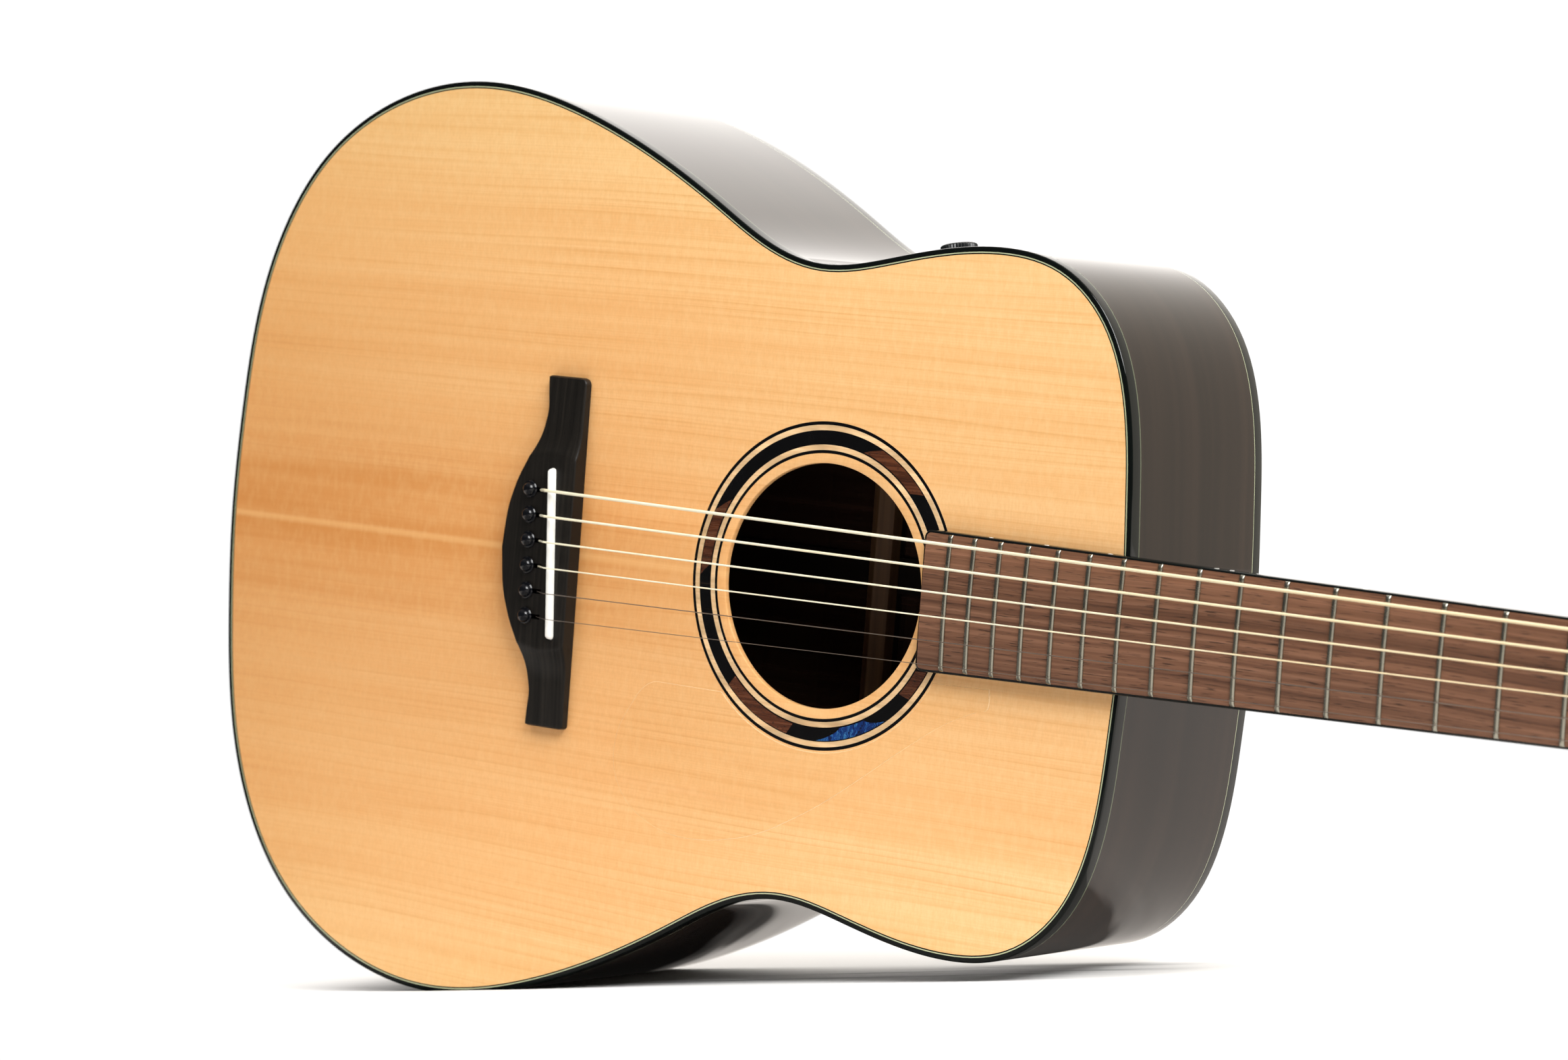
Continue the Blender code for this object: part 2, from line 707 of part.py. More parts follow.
HEEL_X = X_NECK + 0.35
HEEL_STATIONS = (HEEL_X, 262.0, 270.0, 275.0, 279.0, 284.0, 291.0, 300.0, 314.0)
HEEL_BLEND = (274.5, 338.0)  # x where the heel starts to shrink and is gone
HEEL_FOOT_HALF, HEEL_FOOT_REACH = 14.5, 28.0  # elliptical end of the heel
SHAFT_STATIONS = ((338.0, 1.0), (450.0, 0.0), (560.0, 0.0), (605.0, 0.0))  # x, squareness

HEAD_TILT = math.radians(13.0)
HEAD_T = 14.5
HEAD_STATIONS = (  # along the headstock, half width, thickness, squareness
    (0.0, 21.5, 14.6, 0.15), (9.0, 22.2, 15.2, 0.55), (18.0, 24.8, 14.9, 0.9),
    (27.0, 28.6, HEAD_T, 1.0), (37.0, 31.0, HEAD_T, 1.0),
    (174.0, 36.0, HEAD_T, 1.0), (181.0, 33.5, HEAD_T, 1.0), (184.0, 28.0, HEAD_T, 1.0),
)
HEAD_ALONG = Vector((math.cos(HEAD_TILT), math.sin(HEAD_TILT), 0.0))
HEAD_OUT = Vector((math.sin(HEAD_TILT), -math.cos(HEAD_TILT), 0.0))  # out of its face
HEAD_ORIGIN = Vector((X_NUT + 5.0, TOP, 0.0))

POST_ALONG = (45.0, 85.0, 125.0)  # along the headstock from HEAD_ORIGIN
POST_Z = (21.0, 22.5, 24.0)
TUNERS = {6 - k: (POST_ALONG[k], POST_Z[k]) for k in range(3)}  # string: (along, z)
TUNERS.update({1 + k: (POST_ALONG[k], -POST_Z[k]) for k in range(3)})

ROD_SLOT_X = (262.0, 604.0)
ROD_SLOT_DEPTH, ROD_SLOT_HALF = 10.0, 3.3
ROD_GAP = 0.4


def half_width(x):
    """Half width of the fingerboard and of the neck under it."""
    return NECK_W_NUT / 2 + NECK_W_GROWTH / 2 * (X_NUT - x)


def shaft_depth(x):
    return 14.5 + 2.6 * (X_NUT - x) / 330.0


def neck_ring(x, y, half, depth, foot=FOOT_HALF, tilt=0.0, square=0.0, heel=0.0):
    """One cross-section hung from (x, y). half is its half width and foot that
    of the flat at the bottom; square and heel are the shares of the flat-sided
    and the heel section mixed into the round one."""
    right = []
    for share in SECTION_DEPTHS:
        bottom = share == 1.0
        round_w = foot if bottom else max(foot, half * math.sqrt(1 - share**2.3))
        square_w = half - 2.0 if bottom else half
        heel_w = foot + (half - foot) * (1 - share) ** 1.9
        width = round_w + (square_w - round_w) * square + (heel_w - round_w) * heel
        down = share * depth
        right.append((x - math.sin(tilt) * down, y + math.cos(tilt) * down, width))
    return right + [(px, py, -pz) for px, py, pz in right[::-1]]


def heel_ring(x):
    """A section where the deep heel runs out into the shaft."""
    start, end = HEEL_BLEND
    faded = max(0.0, (x - start) / (end - start))
    shallow = shaft_depth(x)
    deep = NECK_DEPTH - 6.0 - 0.06 * (x - X_NECK)
    depth = shallow + (deep - shallow) * (1 - faded) ** 3.0
    ellipse = max(0.0, 1 - ((x - HEEL_X) / HEEL_FOOT_REACH) ** 2)
    foot = max(FOOT_HALF, HEEL_FOOT_HALF * math.sqrt(ellipse))
    share = (depth - shallow) / (deep - shallow)
    return neck_ring(x, TOP, half_width(x) - 0.05, depth, foot, heel=share)


def head_point(along, z, height):
    """Point along the headstock, z across it and height above its face."""
    point = HEAD_ORIGIN + HEAD_ALONG * along + HEAD_OUT * height
    return Vector((point.x, point.y, z))


def build_neck():
    rings = [heel_ring(x) for x in HEEL_STATIONS]
    for x, square in SHAFT_STATIONS:
        rings.append(neck_ring(
            x, TOP, half_width(x) - 0.05, shaft_depth(x), square=square))
    for along, half, thickness, square in HEAD_STATIONS:
        point = head_point(along, 0.0, 0.0)
        rings.append(neck_ring(
            point.x, point.y, half, thickness, tilt=HEAD_TILT, square=square))
    tenon = box(TENON_X, X_NECK + 10.0, TENON_FRONT, TENON_BACK, -TENON_HALF, TENON_HALF)
    rod_slot = box(
        *ROD_SLOT_X, TOP - 5.0, TOP + ROD_SLOT_DEPTH, -ROD_SLOT_HALF, ROD_SLOT_HALF)
    post_holes = [
        stand_on(cylinder(5.1, -40, 20, 12), head_point(along, z, 0), HEAD_OUT)
        for along, z in TUNERS.values()
    ]
    build("neck", loft(rings), MAHOGANY, [
        ("UNION", tenon),
        ("DIFFERENCE", rod_slot),
        ("DIFFERENCE", join_shells(post_holes)),
    ])


def build_truss_rod():
    half = ROD_SLOT_HALF - ROD_GAP
    build("truss_rod", box(
        ROD_SLOT_X[0] + ROD_GAP, ROD_SLOT_X[1] - ROD_GAP,
        TOP + ROD_GAP, TOP + ROD_SLOT_DEPTH - ROD_GAP, -half, half), STEEL)


# -------------------------------------------------------- fingerboard, frets
BOARD_R = 400.0  # radius of the fingerboard's rounded face
BOARD_STATIONS = (152.5, 300.0, 450.0, X_NUT)
ACROSS = (1.0, 0.5, 0.0, -0.5, -1.0)  # shares of the half width
FRET_W = 2.3
FRET_SECTION = [  # (x, y) about the fret line on the board's face
    (-FRET_W / 2, -0.16), (-FRET_W * 0.24, -FRET_H), (FRET_W * 0.24, -FRET_H),
    (FRET_W / 2, -0.16),
]


def crown(z):
    """Drop of the fingerboard's rounded face at z from the centre line."""
    return z * z / (2 * BOARD_R)


def fret_x(n):
    return X_NUT - SCALE_LENGTH * (1 - 2 ** (-n / 12))


FRET_X = [fret_x(n) for n in range(1, FRETS + 1)]  # nut end first


def build_fingerboard():
    """The board, hollowed for the pegs and the rail that tie the frets."""
    rings = []
    for x in BOARD_STATIONS:
        half = half_width(x)
        ring = [(x, BOARD_BOTTOM, -half), (x, BOARD_BOTTOM, half)]
        ring += [(x, BOARD_TOP + crown(f * half), f * half) for f in ACROSS]
        rings.append(ring)
    wells = [
        box(x - 0.8, x + 0.8, BOARD_TOP - 3.0, BOARD_BOTTOM - 0.6, -1.0, 1.0)
        for x in FRET_X
    ]
    rail_slot = box(
        FRET_X[-1] - 2.5, FRET_X[0] + 2.5, BOARD_BOTTOM - 1.9, BOARD_BOTTOM + 2.0, -1.0, 1.0)
    build("fingerboard", loft(rings), BOARD_WOOD, [
        ("DIFFERENCE", join_shells(wells)),
        ("DIFFERENCE", rail_slot),
    ])


def build_frets():
    """The fret wires, made one body by a peg at each fret and a thin rail
    inside the board's underside, along the centre line."""
    bars = []
    for x in FRET_X:
        half = half_width(x) - 0.25
        bars.append(loft([
            [(x + dx, BOARD_TOP + crown(f * half) + dy, f * half) for dx, dy in FRET_SECTION]
            for f in ACROSS
        ]))
    rail_back, rail_front = BOARD_BOTTOM - 0.2, BOARD_BOTTOM - 1.3
    peg_front = BOARD_TOP - 0.6
    tail_end, nut_end = FRET_X[-1] - 1.5, FRET_X[0] + 1.5
    comb = [(tail_end, rail_back), (nut_end, rail_back), (nut_end, rail_front)]
    for x in FRET_X:
        comb += [(x + 0.5, rail_front), (x + 0.5, peg_front),
                 (x - 0.5, peg_front), (x - 0.5, rail_front)]
    comb.append((tail_end, rail_front))
    build("frets", loft([[(x, y, z) for x, y in comb] for z in (-0.6, 0.6)]), SILVER,
          [("UNION", join_shells(bars))])


# ------------------------------------------------------- string lines and nut
ACTION_NUT, ACTION_SADDLE = 0.5, 4.4  # height of the strings above the frets
SADDLE_HALF_SPREAD, NUT_HALF_SPREAD = 28.0, 18.0
TREBLE_SHIFT = 1.0  # sideways shift of all strings at the saddle


def string_z(i, x):
    """Lateral place of string i (0 is the bass string) at x."""
    t = (X_NUT - x) / SCALE_LENGTH
    spread = NUT_HALF_SPREAD + (SADDLE_HALF_SPREAD - NUT_HALF_SPREAD) * t
    return spread * (1 - 2 * i / 5) - TREBLE_SHIFT * t


def string_under(x, z):
    """y of the underside of a string at x, above the rounded fret plane."""
    t = (X_NUT - x) / SCALE_LENGTH
    rise = ACTION_NUT + (ACTION_SADDLE - ACTION_NUT) * t
    return BOARD_TOP - FRET_H - rise + crown(z)


def build_nut():
    half = half_width(X_NUT) - 0.1
    edge = BOARD_TOP + crown(half) - 1.0
    profile = [(half, edge)]  # (z, y), with a groove under each string
    for i in range(6):
        z, radius = string_z(i, X_NUT), STRING_D[i] / 2
        floor = string_under(X_NUT, z) + 0.12
        land = floor - 0.55 - radius
        profile += [
            (z + radius + 0.35, land), (z + radius + 0.12, floor),
            (z - radius - 0.12, floor), (z - radius - 0.35, land),
        ]
    profile += [(-half, edge), (-half, TOP - GAP), (half, TOP - GAP)]
    build("nut", loft([
        [(x, y, z) for z, y in profile] for x in (X_NUT + GAP, X_NUT + 4.9)]), BONE)


# ------------------------------------------------------ bridge, saddle, pins
BRIDGE_HALF = 77.3
BRIDGE_NECK_EDGE = X_SADDLE + 3.2
BRIDGE_TAIL_EDGE = (  # z, distance from the saddle line: straight wings, rounded belly
    (0.0, 36.3), (16.0, 34.5), (30.0, 30.0), (42.6, 23.4), (55.0, 18.9),
    (63.0, 17.5), (70.0, 18.6), (BRIDGE_HALF, 18.8),
)
BRIDGE_Z = (0.0, 16.0, 30.0, 41.0, 47.0, 52.5, 58.0, 63.0, 75.8, BRIDGE_HALF)  # sections
SCOOP_START, SCOOP_END = 41.0, 58.0  # |z| where full height ends and the wings begin
BRIDGE_END_INSET, BRIDGE_SOFT = 1.5, 1.1  # narrowed end sections, chamfers

SADDLE_BASS, SADDLE_TREBLE = (X_SADDLE - 9.2, 36.9), (X_SADDLE - 4.0, -37.9)  # (x, z)
SADDLE_SIDE = unit_and_side(np.subtract(SADDLE_TREBLE, SADDLE_BASS))[1]
SADDLE_T = 3.4
SADDLE_STEPS = 12
SADDLE_SLOT_FLOOR = BRIDGE_BOTTOM - 4.0

PIN_R_TOP, PIN_R_TIP, PIN_HEAD_R, PIN_LENGTH = 2.6, 2.1, 3.8, 25.0


def bridge_ring(z):
    """The bridge's section at z, its front face scooped down to thin wings."""
    distances, edges = zip(*BRIDGE_TAIL_EDGE)
    inset = BRIDGE_END_INSET if abs(z) == BRIDGE_HALF else 0.0
    tail = X_SADDLE - float(np.interp(abs(z), distances, edges)) + inset
    neck = BRIDGE_NECK_EDGE - inset
    t = min(1.0, max(0.0, (abs(z) - SCOOP_START) / (SCOOP_END - SCOOP_START)))
    scoop = t * t * (3 - 2 * t)
    height = BRIDGE_H - 3.0 * scoop - 0.6 * max(0.0, abs(z) - SCOOP_END) / 19.0
    front = BRIDGE_BOTTOM - height
    return [
        (tail, BRIDGE_BOTTOM, z), (tail, front + BRIDGE_SOFT + 0.6, z),
        (tail + BRIDGE_SOFT, front, z), (neck - BRIDGE_SOFT, front, z),
        (neck, front + BRIDGE_SOFT, z), (neck, BRIDGE_BOTTOM, z),
    ]


def saddle_line(t):
    """Centre of the saddle at t, 0 at the bass end and 1 at the treble end."""
    return tuple(a + (b - a) * t for a, b in zip(SADDLE_BASS, SADDLE_TREBLE))


def build_bridge():
    stations = [-z for z in BRIDGE_Z[:0:-1]] + list(BRIDGE_Z)
    side_x, side_z = SADDLE_SIDE * (SADDLE_T / 2 + 0.25)
    front = BRIDGE_BOTTOM - 30.0  # the cutters reach well clear of the face
    slot_rings = []
    for x, z in (saddle_line(-0.004), saddle_line(1.004)):
        slot_rings.append([
            (x + side_x, SADDLE_SLOT_FLOOR, z + side_z),
            (x - side_x, SADDLE_SLOT_FLOOR, z - side_z),
            (x - side_x, front, z - side_z), (x + side_x, front, z + side_z),
        ])
    pin_cuts = [
        plate([keyhole(x, z, BRIDGE_SLOT_REACH)], level(front), level(BRIDGE_BOTTOM + 5.0))
        for x, z in PINS
    ]
    build("bridge", loft([bridge_ring(z) for z in stations]), EBONY, [
        ("DIFFERENCE", loft(slot_rings)),
        ("DIFFERENCE", join_shells(pin_cuts)),
    ])


def build_saddle():
    base = SADDLE_SLOT_FLOOR - GAP
    side_x, side_z = SADDLE_SIDE * SADDLE_T / 2
    rings = []
    for k in range(SADDLE_STEPS + 1):
        x, z = saddle_line(k / SADDLE_STEPS)
        front = string_under(x, z) + 0.15
        if k in (0, SADDLE_STEPS):
            front += 1.6  # lowered ends
        section = (  # share of the half thickness, y
            (1.0, base), (1.0, front + 1.2), (0.45, front),
            (-0.45, front), (-1.0, front + 1.2), (-1.0, base),
        )
        rings.append([(x + side_x * share, y, z + side_z * share) for share, y in section])
    build("saddle", loft(rings), BONE)


def build_pins():
    mesh = mesh_from("bridge_pin", lathe([
        (0, -PIN_LENGTH), (PIN_R_TIP, -PIN_LENGTH + 1.0), (PIN_R_TOP, 0.0),
        (PIN_HEAD_R - 0.4, 0.0), (PIN_HEAD_R, 1.0), (PIN_HEAD_R * 0.75, 2.9), (0, 3.7)], 12))
    for i, (x, z) in enumerate(PINS):
        foot = (x, BRIDGE_TOP - GAP, z)
        place(f"bridge_pin_{6 - i}", mesh, BLACK, standing(foot, (0, -1, 0)))


# --------------------------------------------------------------------- tuners
# Heights are measured from the headstock's face, so those behind it are negative.
POST_R = 3.0
GEAR_R, GEAR_HALF = 4.3, 2.4
WORM_R = 2.0
WORM_OFFSET = GEAR_R + WORM_R + GAP
WORM_HEIGHT = -20.5
POST_LOW = -25.0
HOUSING_BACK = -HEAD_T - GAP  # where the housing meets the headstock's back
BUTTON_ROWS = (  # along the worm's axis, half size along Y, half size along Z
    (-6.0, 1.9, 1.9), (13.4, 1.9, 1.9), (13.8, 3.2, 3.2), (15.2, 3.2, 3.2),
    (18.5, 3.2, 6.4), (23.0, 3.8, 8.8), (29.0, 3.8, 9.0), (33.0, 2.8, 6.4), (34.6, 1.2, 3.0),
)


def tuner_matrix(along, z):
    """Local axes: X across towards the button, Z out of the headstock's face."""
    across = Vector((0, 0, 1 if z > 0 else -1))
    turn = Matrix((across, HEAD_OUT.cross(across), HEAD_OUT)).transposed().to_4x4()
    return Matrix.Translation(head_point(along, z, 0) * MM) @ turn


def housing_mesh(flip):
    """Gear housing with its bushing and nut; flip is the worm's side in Y."""
    worm_y = flip * WORM_OFFSET
    y_low, y_high = sorted((-7.0 * flip, worm_y + 4.2 * flip))
    shell = rounded_box(-8.0, 8.5, y_low, y_high, HOUSING_BACK - 11.5, HOUSING_BACK)
    hexagon = lathe([(0, 0.35), (6.3, 0.35), (6.3, 2.6), (5.6, 3.2), (0, 3.2)], 6)
    bore_r, gear_bore_r = POST_R + GAP, GEAR_R + GAP
    gear_low = WORM_HEIGHT - GEAR_HALF - GAP
    gear_high = WORM_HEIGHT + GEAR_HALF + GAP
    cavity = lathe([
        (0, POST_LOW - GAP), (bore_r, POST_LOW - GAP), (bore_r, gear_low),
        (gear_bore_r, gear_low), (gear_bore_r, gear_high), (bore_r, gear_high),
        (bore_r, 6.0), (0, 6.0)], 12)
    worm_bore = along_x(cylinder(WORM_R + 0.4, -6.4, 12.0, 10), 0.0, worm_y, WORM_HEIGHT)
    return carve("tuner_housing", shell, [
        ("UNION", cylinder(4.6, HOUSING_BACK - 3.0, 1.8, 12)),
        ("UNION", hexagon),
        ("DIFFERENCE", cavity),
        ("DIFFERENCE", worm_bore),
    ])


def post_mesh():
    """String post with its gear."""
    gear_low, gear_high = WORM_HEIGHT - GEAR_HALF, WORM_HEIGHT + GEAR_HALF
    return mesh_from("tuner_post", lathe([
        (0, POST_LOW), (POST_R, POST_LOW), (POST_R, gear_low), (GEAR_R, gear_low),
        (GEAR_R, gear_high), (POST_R, gear_high), (POST_R, 14.2), (POST_R - 0.7, 15.0),
        (0, 15.0)], 12))


def button_mesh():
    """The button, its shaft and the worm, along the worm's axis."""
    unit = circle(0.0, 0.0, 1.0, 10)
    return mesh_from("tuner_button", loft([
        [(x, half_y * a, half_z * b) for a, b in unit] for x, half_y, half_z in BUTTON_ROWS]))


def build_tuners():
    housings = {flip: housing_mesh(flip) for flip in (-1, 1)}
    post, button = post_mesh(), button_mesh()
    for number, (along, z) in TUNERS.items():
        flip = -1 if z > 0 else 1
        seat = tuner_matrix(along, z)
        worm = Matrix.Translation(Vector((0, flip * WORM_OFFSET, WORM_HEIGHT)) * MM)
        place(f"tuner_housing_{number}", housings[flip], CHROME, seat)
        place(f"tuner_post_{number}", post, CHROME, seat)
        place(f"tuner_button_{number}", button, CHROME, seat @ worm)


# -------------------------------------------------------------------- strings
WRAP_TURNS = (1.3, 1.5, 1.75, 2.0, 2.3, 2.6)  # round the post, bass to treble
WRAP_STEPS_PER_TURN = 8
WRAP_TOP = 10.2  # height of the first turn above the headstock's face
WOUND_STRINGS = 4


def post_wrap(i, start):
    """Turns of string i round its post, met at a tangent from start."""
    radius = STRING_D[i] / 2
    along, z = TUNERS[6 - i]
    side = 1 if z > 0 else -1  # worked out as if the post were at +z
    wrap_r = POST_R + 0.55 + radius
    centre = Vector((along, side * z))
    start = Vector(start)
    gap = Vector(((start - HEAD_ORIGIN).dot(HEAD_ALONG), side * start.z)) - centre
    first_angle = math.atan2(gap.y, gap.x) + math.acos(wrap_r / gap.length)
    pitch = 2 * radius + 0.28
    turns = WRAP_TURNS[i]
    steps = int(turns * WRAP_STEPS_PER_TURN)
    points = []
    for k in range(steps + 1):
        turned = turns * k / steps
        angle = first_angle + 2 * math.pi * turned
        points.append(head_point(
            centre.x + wrap_r * math.cos(angle),
            side * (centre.y + wrap_r * math.sin(angle)),
            WRAP_TOP - pitch * turned))
    return points


def string_path(i):
    """From inside the body past the pin, over saddle and nut, round the post."""
    radius = STRING_D[i] / 2
    pin_x, pin_z = PINS[i]
    bass_z, treble_z = SADDLE_BASS[1], SADDLE_TREBLE[1]
    # The string's place on the slanted saddle, found from the nominal line.
    saddle_x, _ = saddle_line((string_z(i, X_SADDLE) - bass_z) / (treble_z - bass_z))
    saddle_z = string_z(i, saddle_x)
    saddle_y = string_under(saddle_x, saddle_z) - radius
    nut_z = string_z(i, X_NUT)
    nut_y = string_under(X_NUT, nut_z) - radius
    drop_x = pin_x + PIN_HOLE_R + 0.35
    path = [
        (drop_x, INNER_TOP + 4.5, pin_z),
        (drop_x, BRIDGE_BOTTOM - 3.5, pin_z),
        (drop_x + 0.5, BRIDGE_TOP + 2.6, pin_z),
        (drop_x + 2.6, BRIDGE_TOP + 0.2, pin_z),
        (saddle_x - 1.6, saddle_y + 0.55, saddle_z),
        (saddle_x - 0.6, saddle_y, saddle_z),
        (saddle_x + 0.8, saddle_y, saddle_z),
        (X_NUT + 0.2, nut_y, nut_z),
        (X_NUT + 5.4, nut_y, string_z(i, X_NUT + 5)),
    ]
    return path + post_wrap(i, path[-1])


def build_strings():
    for i, diameter in enumerate(STRING_D):
        mat = BRONZE if i < WOUND_STRINGS else STEEL
        build(f"string_{6 - i}", tube(string_path(i), diameter / 2), mat, smooth=75.0)


# ---------------------------------------------------------------- electronics
KNOB_R, KNOB_H = 7.9, 5.5
KNOB_SHAFT_R = 2.9
KNOB_POINTS = 24  # round the rim, alternately high and low
KNOB_ROWS = (  # radius of odd points, radius of even points, height off the rib
    (KNOB_SHAFT_R, KNOB_SHAFT_R, -11.0), (KNOB_SHAFT_R, KNOB_SHAFT_R, 0.4),
    (KNOB_R, KNOB_R - 0.45, 0.4), (KNOB_R, KNOB_R - 0.45, KNOB_H - 0.7),
    (KNOB_R - 0.8, KNOB_R - 0.8, KNOB_H),
)
JACK_PROFILE = [  # radius, distance along +X; a hollow sleeve with outer flanges
    (3.2, -14.0), (6.3, -14.0), (8.2, -13.2), (8.2, -11.2), (6.0, -9.0), (6.0, -5.6),
    (8.4, -1.4), (8.4, -0.5), (JACK_R, -0.5), (JACK_R, 34.0), (3.2, 34.0),
]


def build_volume_knob():
    """The fluted knob with its shaft through the bass rib."""
    rings = []
    for odd_r, even_r, height in KNOB_ROWS:
        ring = []
        for k in range(KNOB_POINTS):
            radius = odd_r if k % 2 else even_r
            angle = 2 * math.pi * k / KNOB_POINTS
            ring.append((radius * math.cos(angle), radius * math.sin(angle), height))
        rings.append(ring)
    build("volume_knob", loft(rings), BLACK, matrix=standing(KNOB_FOOT, KNOB_AXIS))


def build_preamp():
    """The box behind the rib, bored for the knob's shaft."""
    case = rounded_box(-24.0, 24.0, -12.0, 12.0, -RIB_T - 18.0, -RIB_T - 3.4)
    build("preamp", case, BLACK, [("DIFFERENCE", cylinder(SHAFT_HOLE_R, -13.0, 2.0, 14))],
          matrix=standing(KNOB_FOOT, KNOB_AXIS))


def build_jack():
    build("end_pin_jack", along_x(
        lathe(JACK_PROFILE, 18), X_TAIL - 0.5, JACK_Y, 0.0), CHROME)


# ------------------------------------------------------------------- assembly
build_plates()
build_edge_strips()
build_sides()
build_blocks()
build_x_brace()
build_transverse_brace()
build_bridge_plate()
build_tone_bars()
build_back_bracing()
build_rosette()
build_pickguard()
build_neck()
build_truss_rod()
build_fingerboard()
build_frets()
build_nut()
build_bridge()
build_saddle()
build_pins()
build_tuners()
build_strings()
build_volume_knob()
build_preamp()
build_jack()
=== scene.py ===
"""Looks of an acoustic guitar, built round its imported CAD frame.

Frame: +X runs to the headstock, +Z to the bass side, and the soundboard faces -Y.
The guitar lies on its treble side. Lengths are millimetres until a mesh is made.
"""

import math

import bmesh
import bpy
import numpy as np
from mathutils import Matrix, Vector
from mathutils.geometry import tessellate_polygon


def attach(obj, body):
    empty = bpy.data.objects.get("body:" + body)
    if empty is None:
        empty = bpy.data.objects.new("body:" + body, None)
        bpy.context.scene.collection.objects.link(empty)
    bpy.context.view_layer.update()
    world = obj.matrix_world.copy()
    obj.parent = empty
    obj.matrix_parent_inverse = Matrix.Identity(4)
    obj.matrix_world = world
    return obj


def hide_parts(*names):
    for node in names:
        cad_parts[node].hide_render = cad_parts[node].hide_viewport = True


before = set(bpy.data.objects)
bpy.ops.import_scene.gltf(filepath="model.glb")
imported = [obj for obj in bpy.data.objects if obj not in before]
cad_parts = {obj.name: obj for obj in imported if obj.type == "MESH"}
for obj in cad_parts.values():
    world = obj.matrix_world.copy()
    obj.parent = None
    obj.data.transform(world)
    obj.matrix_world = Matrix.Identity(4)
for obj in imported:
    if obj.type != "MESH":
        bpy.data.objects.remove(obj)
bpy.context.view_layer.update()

# ------------------------------------------------------- driving dimensions
MM = 0.001
SCALE_LENGTH, FRETS = 650.0, 20
X_SADDLE = -39.0
X_NUT = X_SADDLE + SCALE_LENGTH
X_TAIL, X_NECK = -250.5, 250.5
TOP = -111.25                                   # y of the soundboard's face
BACK_SLOPE = (98.5 - 124.0) / (X_NECK - X_TAIL)
# Bass half of the body outline, tail to neck: (x, z).
OUTLINE = [
    (-251.0, 0.0), (-248.7, 48.4), (-239.8, 106.0), (-205.8, 167.5),
    (-156.0, 197.6), (-109.0, 204.8), (-47.3, 192.6), (29.0, 157.0),
    (64.5, 138.8), (84.2, 134.6), (123.4, 139.6), (173.9, 146.4),
    (206.3, 140.4), (231.0, 119.3), (242.9, 91.1), (248.5, 45.6), (250.5, 0.0),
]
BINDING_W, BINDING_H, BINDING_ROUND = 2.2, 5.8, 0.7
LINE_W = 0.5                                    # each purfling line
RIB_T, TOP_T, BACK_T = 2.4, 3.0, 2.6
HOLE_X, HOLE_R = 97.4, 51.5
ROSETTE_INNER, ROSETTE_OUTER = 55.7, 69.0
NECK_W_NUT, NECK_W_GROWTH = 43.2, 21.6 / SCALE_LENGTH
BOARD_T, BOARD_R, BOARD_END = 6.0, 400.0, 152.5
BOARD_BOTTOM = TOP - 0.3
BOARD_TOP = BOARD_BOTTOM - BOARD_T
FRET_H, FRET_W = 1.1, 2.3
ACTION_NUT, ACTION_SADDLE = 0.5, 4.4
HEAD_TILT = math.radians(13.0)
HEAD_T, HEAD_LENGTH = 14.5, 184.0
# Strings are indexed from the bass string (number 6) to the treble one (number 1).
STRING_D = (1.35, 1.07, 0.81, 0.61, 0.41, 0.30)
SADDLE_HALF_SPREAD, NUT_HALF_SPREAD = 28.0, 18.0
PIN_HOLE_R, PIN_SLOT_HALF = 3.0, 1.05
PINS = [(-60.0 + 2.0 * t, 26.8 - 55.7 * t) for t in (i / 5 for i in range(6))]  # (x, z)


# ------------------------------------------------------------------ geometry
class Shell:
    """Points and faces gathered loop by loop."""

    def __init__(self):
        self.verts, self.faces = [], []

    def loop(self, points):
        start = len(self.verts)
        self.verts += [tuple(p) for p in points]
        return list(range(start, len(self.verts)))

    def strip(self, a, b, closed=True):
        count = len(a)
        for i in range(count if closed else count - 1):
            j = (i + 1) % count
            self.faces.append((a[i], a[j], b[j], b[i]))

    def cap(self, *loops):
        """Fills the first loop, less the others, as seen along Y."""
        flat = [i for loop in loops for i in loop]
        rings = [[Vector((self.verts[i][0], self.verts[i][2], 0)) for i in loop] for loop in loops]
        for triangle in tessellate_polygon(rings):
            self.faces.append(tuple(flat[k] for k in triangle))

    def add(self, other):
        start = len(self.verts)
        self.verts += other.verts
        self.faces += [tuple(i + start for i in face) for face in other.faces]

    def moved(self, matrix):
        shell = Shell()
        shell.verts = [tuple(matrix @ Vector(v)) for v in self.verts]
        shell.faces = list(self.faces)
        return shell

    def along_x(self, x=0.0, y=0.0, z=0.0):
        """A shape turned about Z, laid with its axis along X through a point."""
        shell = Shell()
        shell.verts = [(x + height, y + a, z + b) for a, b, height in self.verts]
        shell.faces = list(self.faces)
        return shell


def mesh_from(name, shell):
    mesh = bpy.data.meshes.new(name)
    mesh.from_pydata([tuple(c * MM for c in v) for v in shell.verts], [], shell.faces)
    bm = bmesh.new()
    bm.from_mesh(mesh)
    bmesh.ops.remove_doubles(bm, verts=bm.verts, dist=1e-7)
    bmesh.ops.recalc_face_normals(bm, faces=bm.faces)
    bm.to_mesh(mesh)
    bm.free()
    return mesh


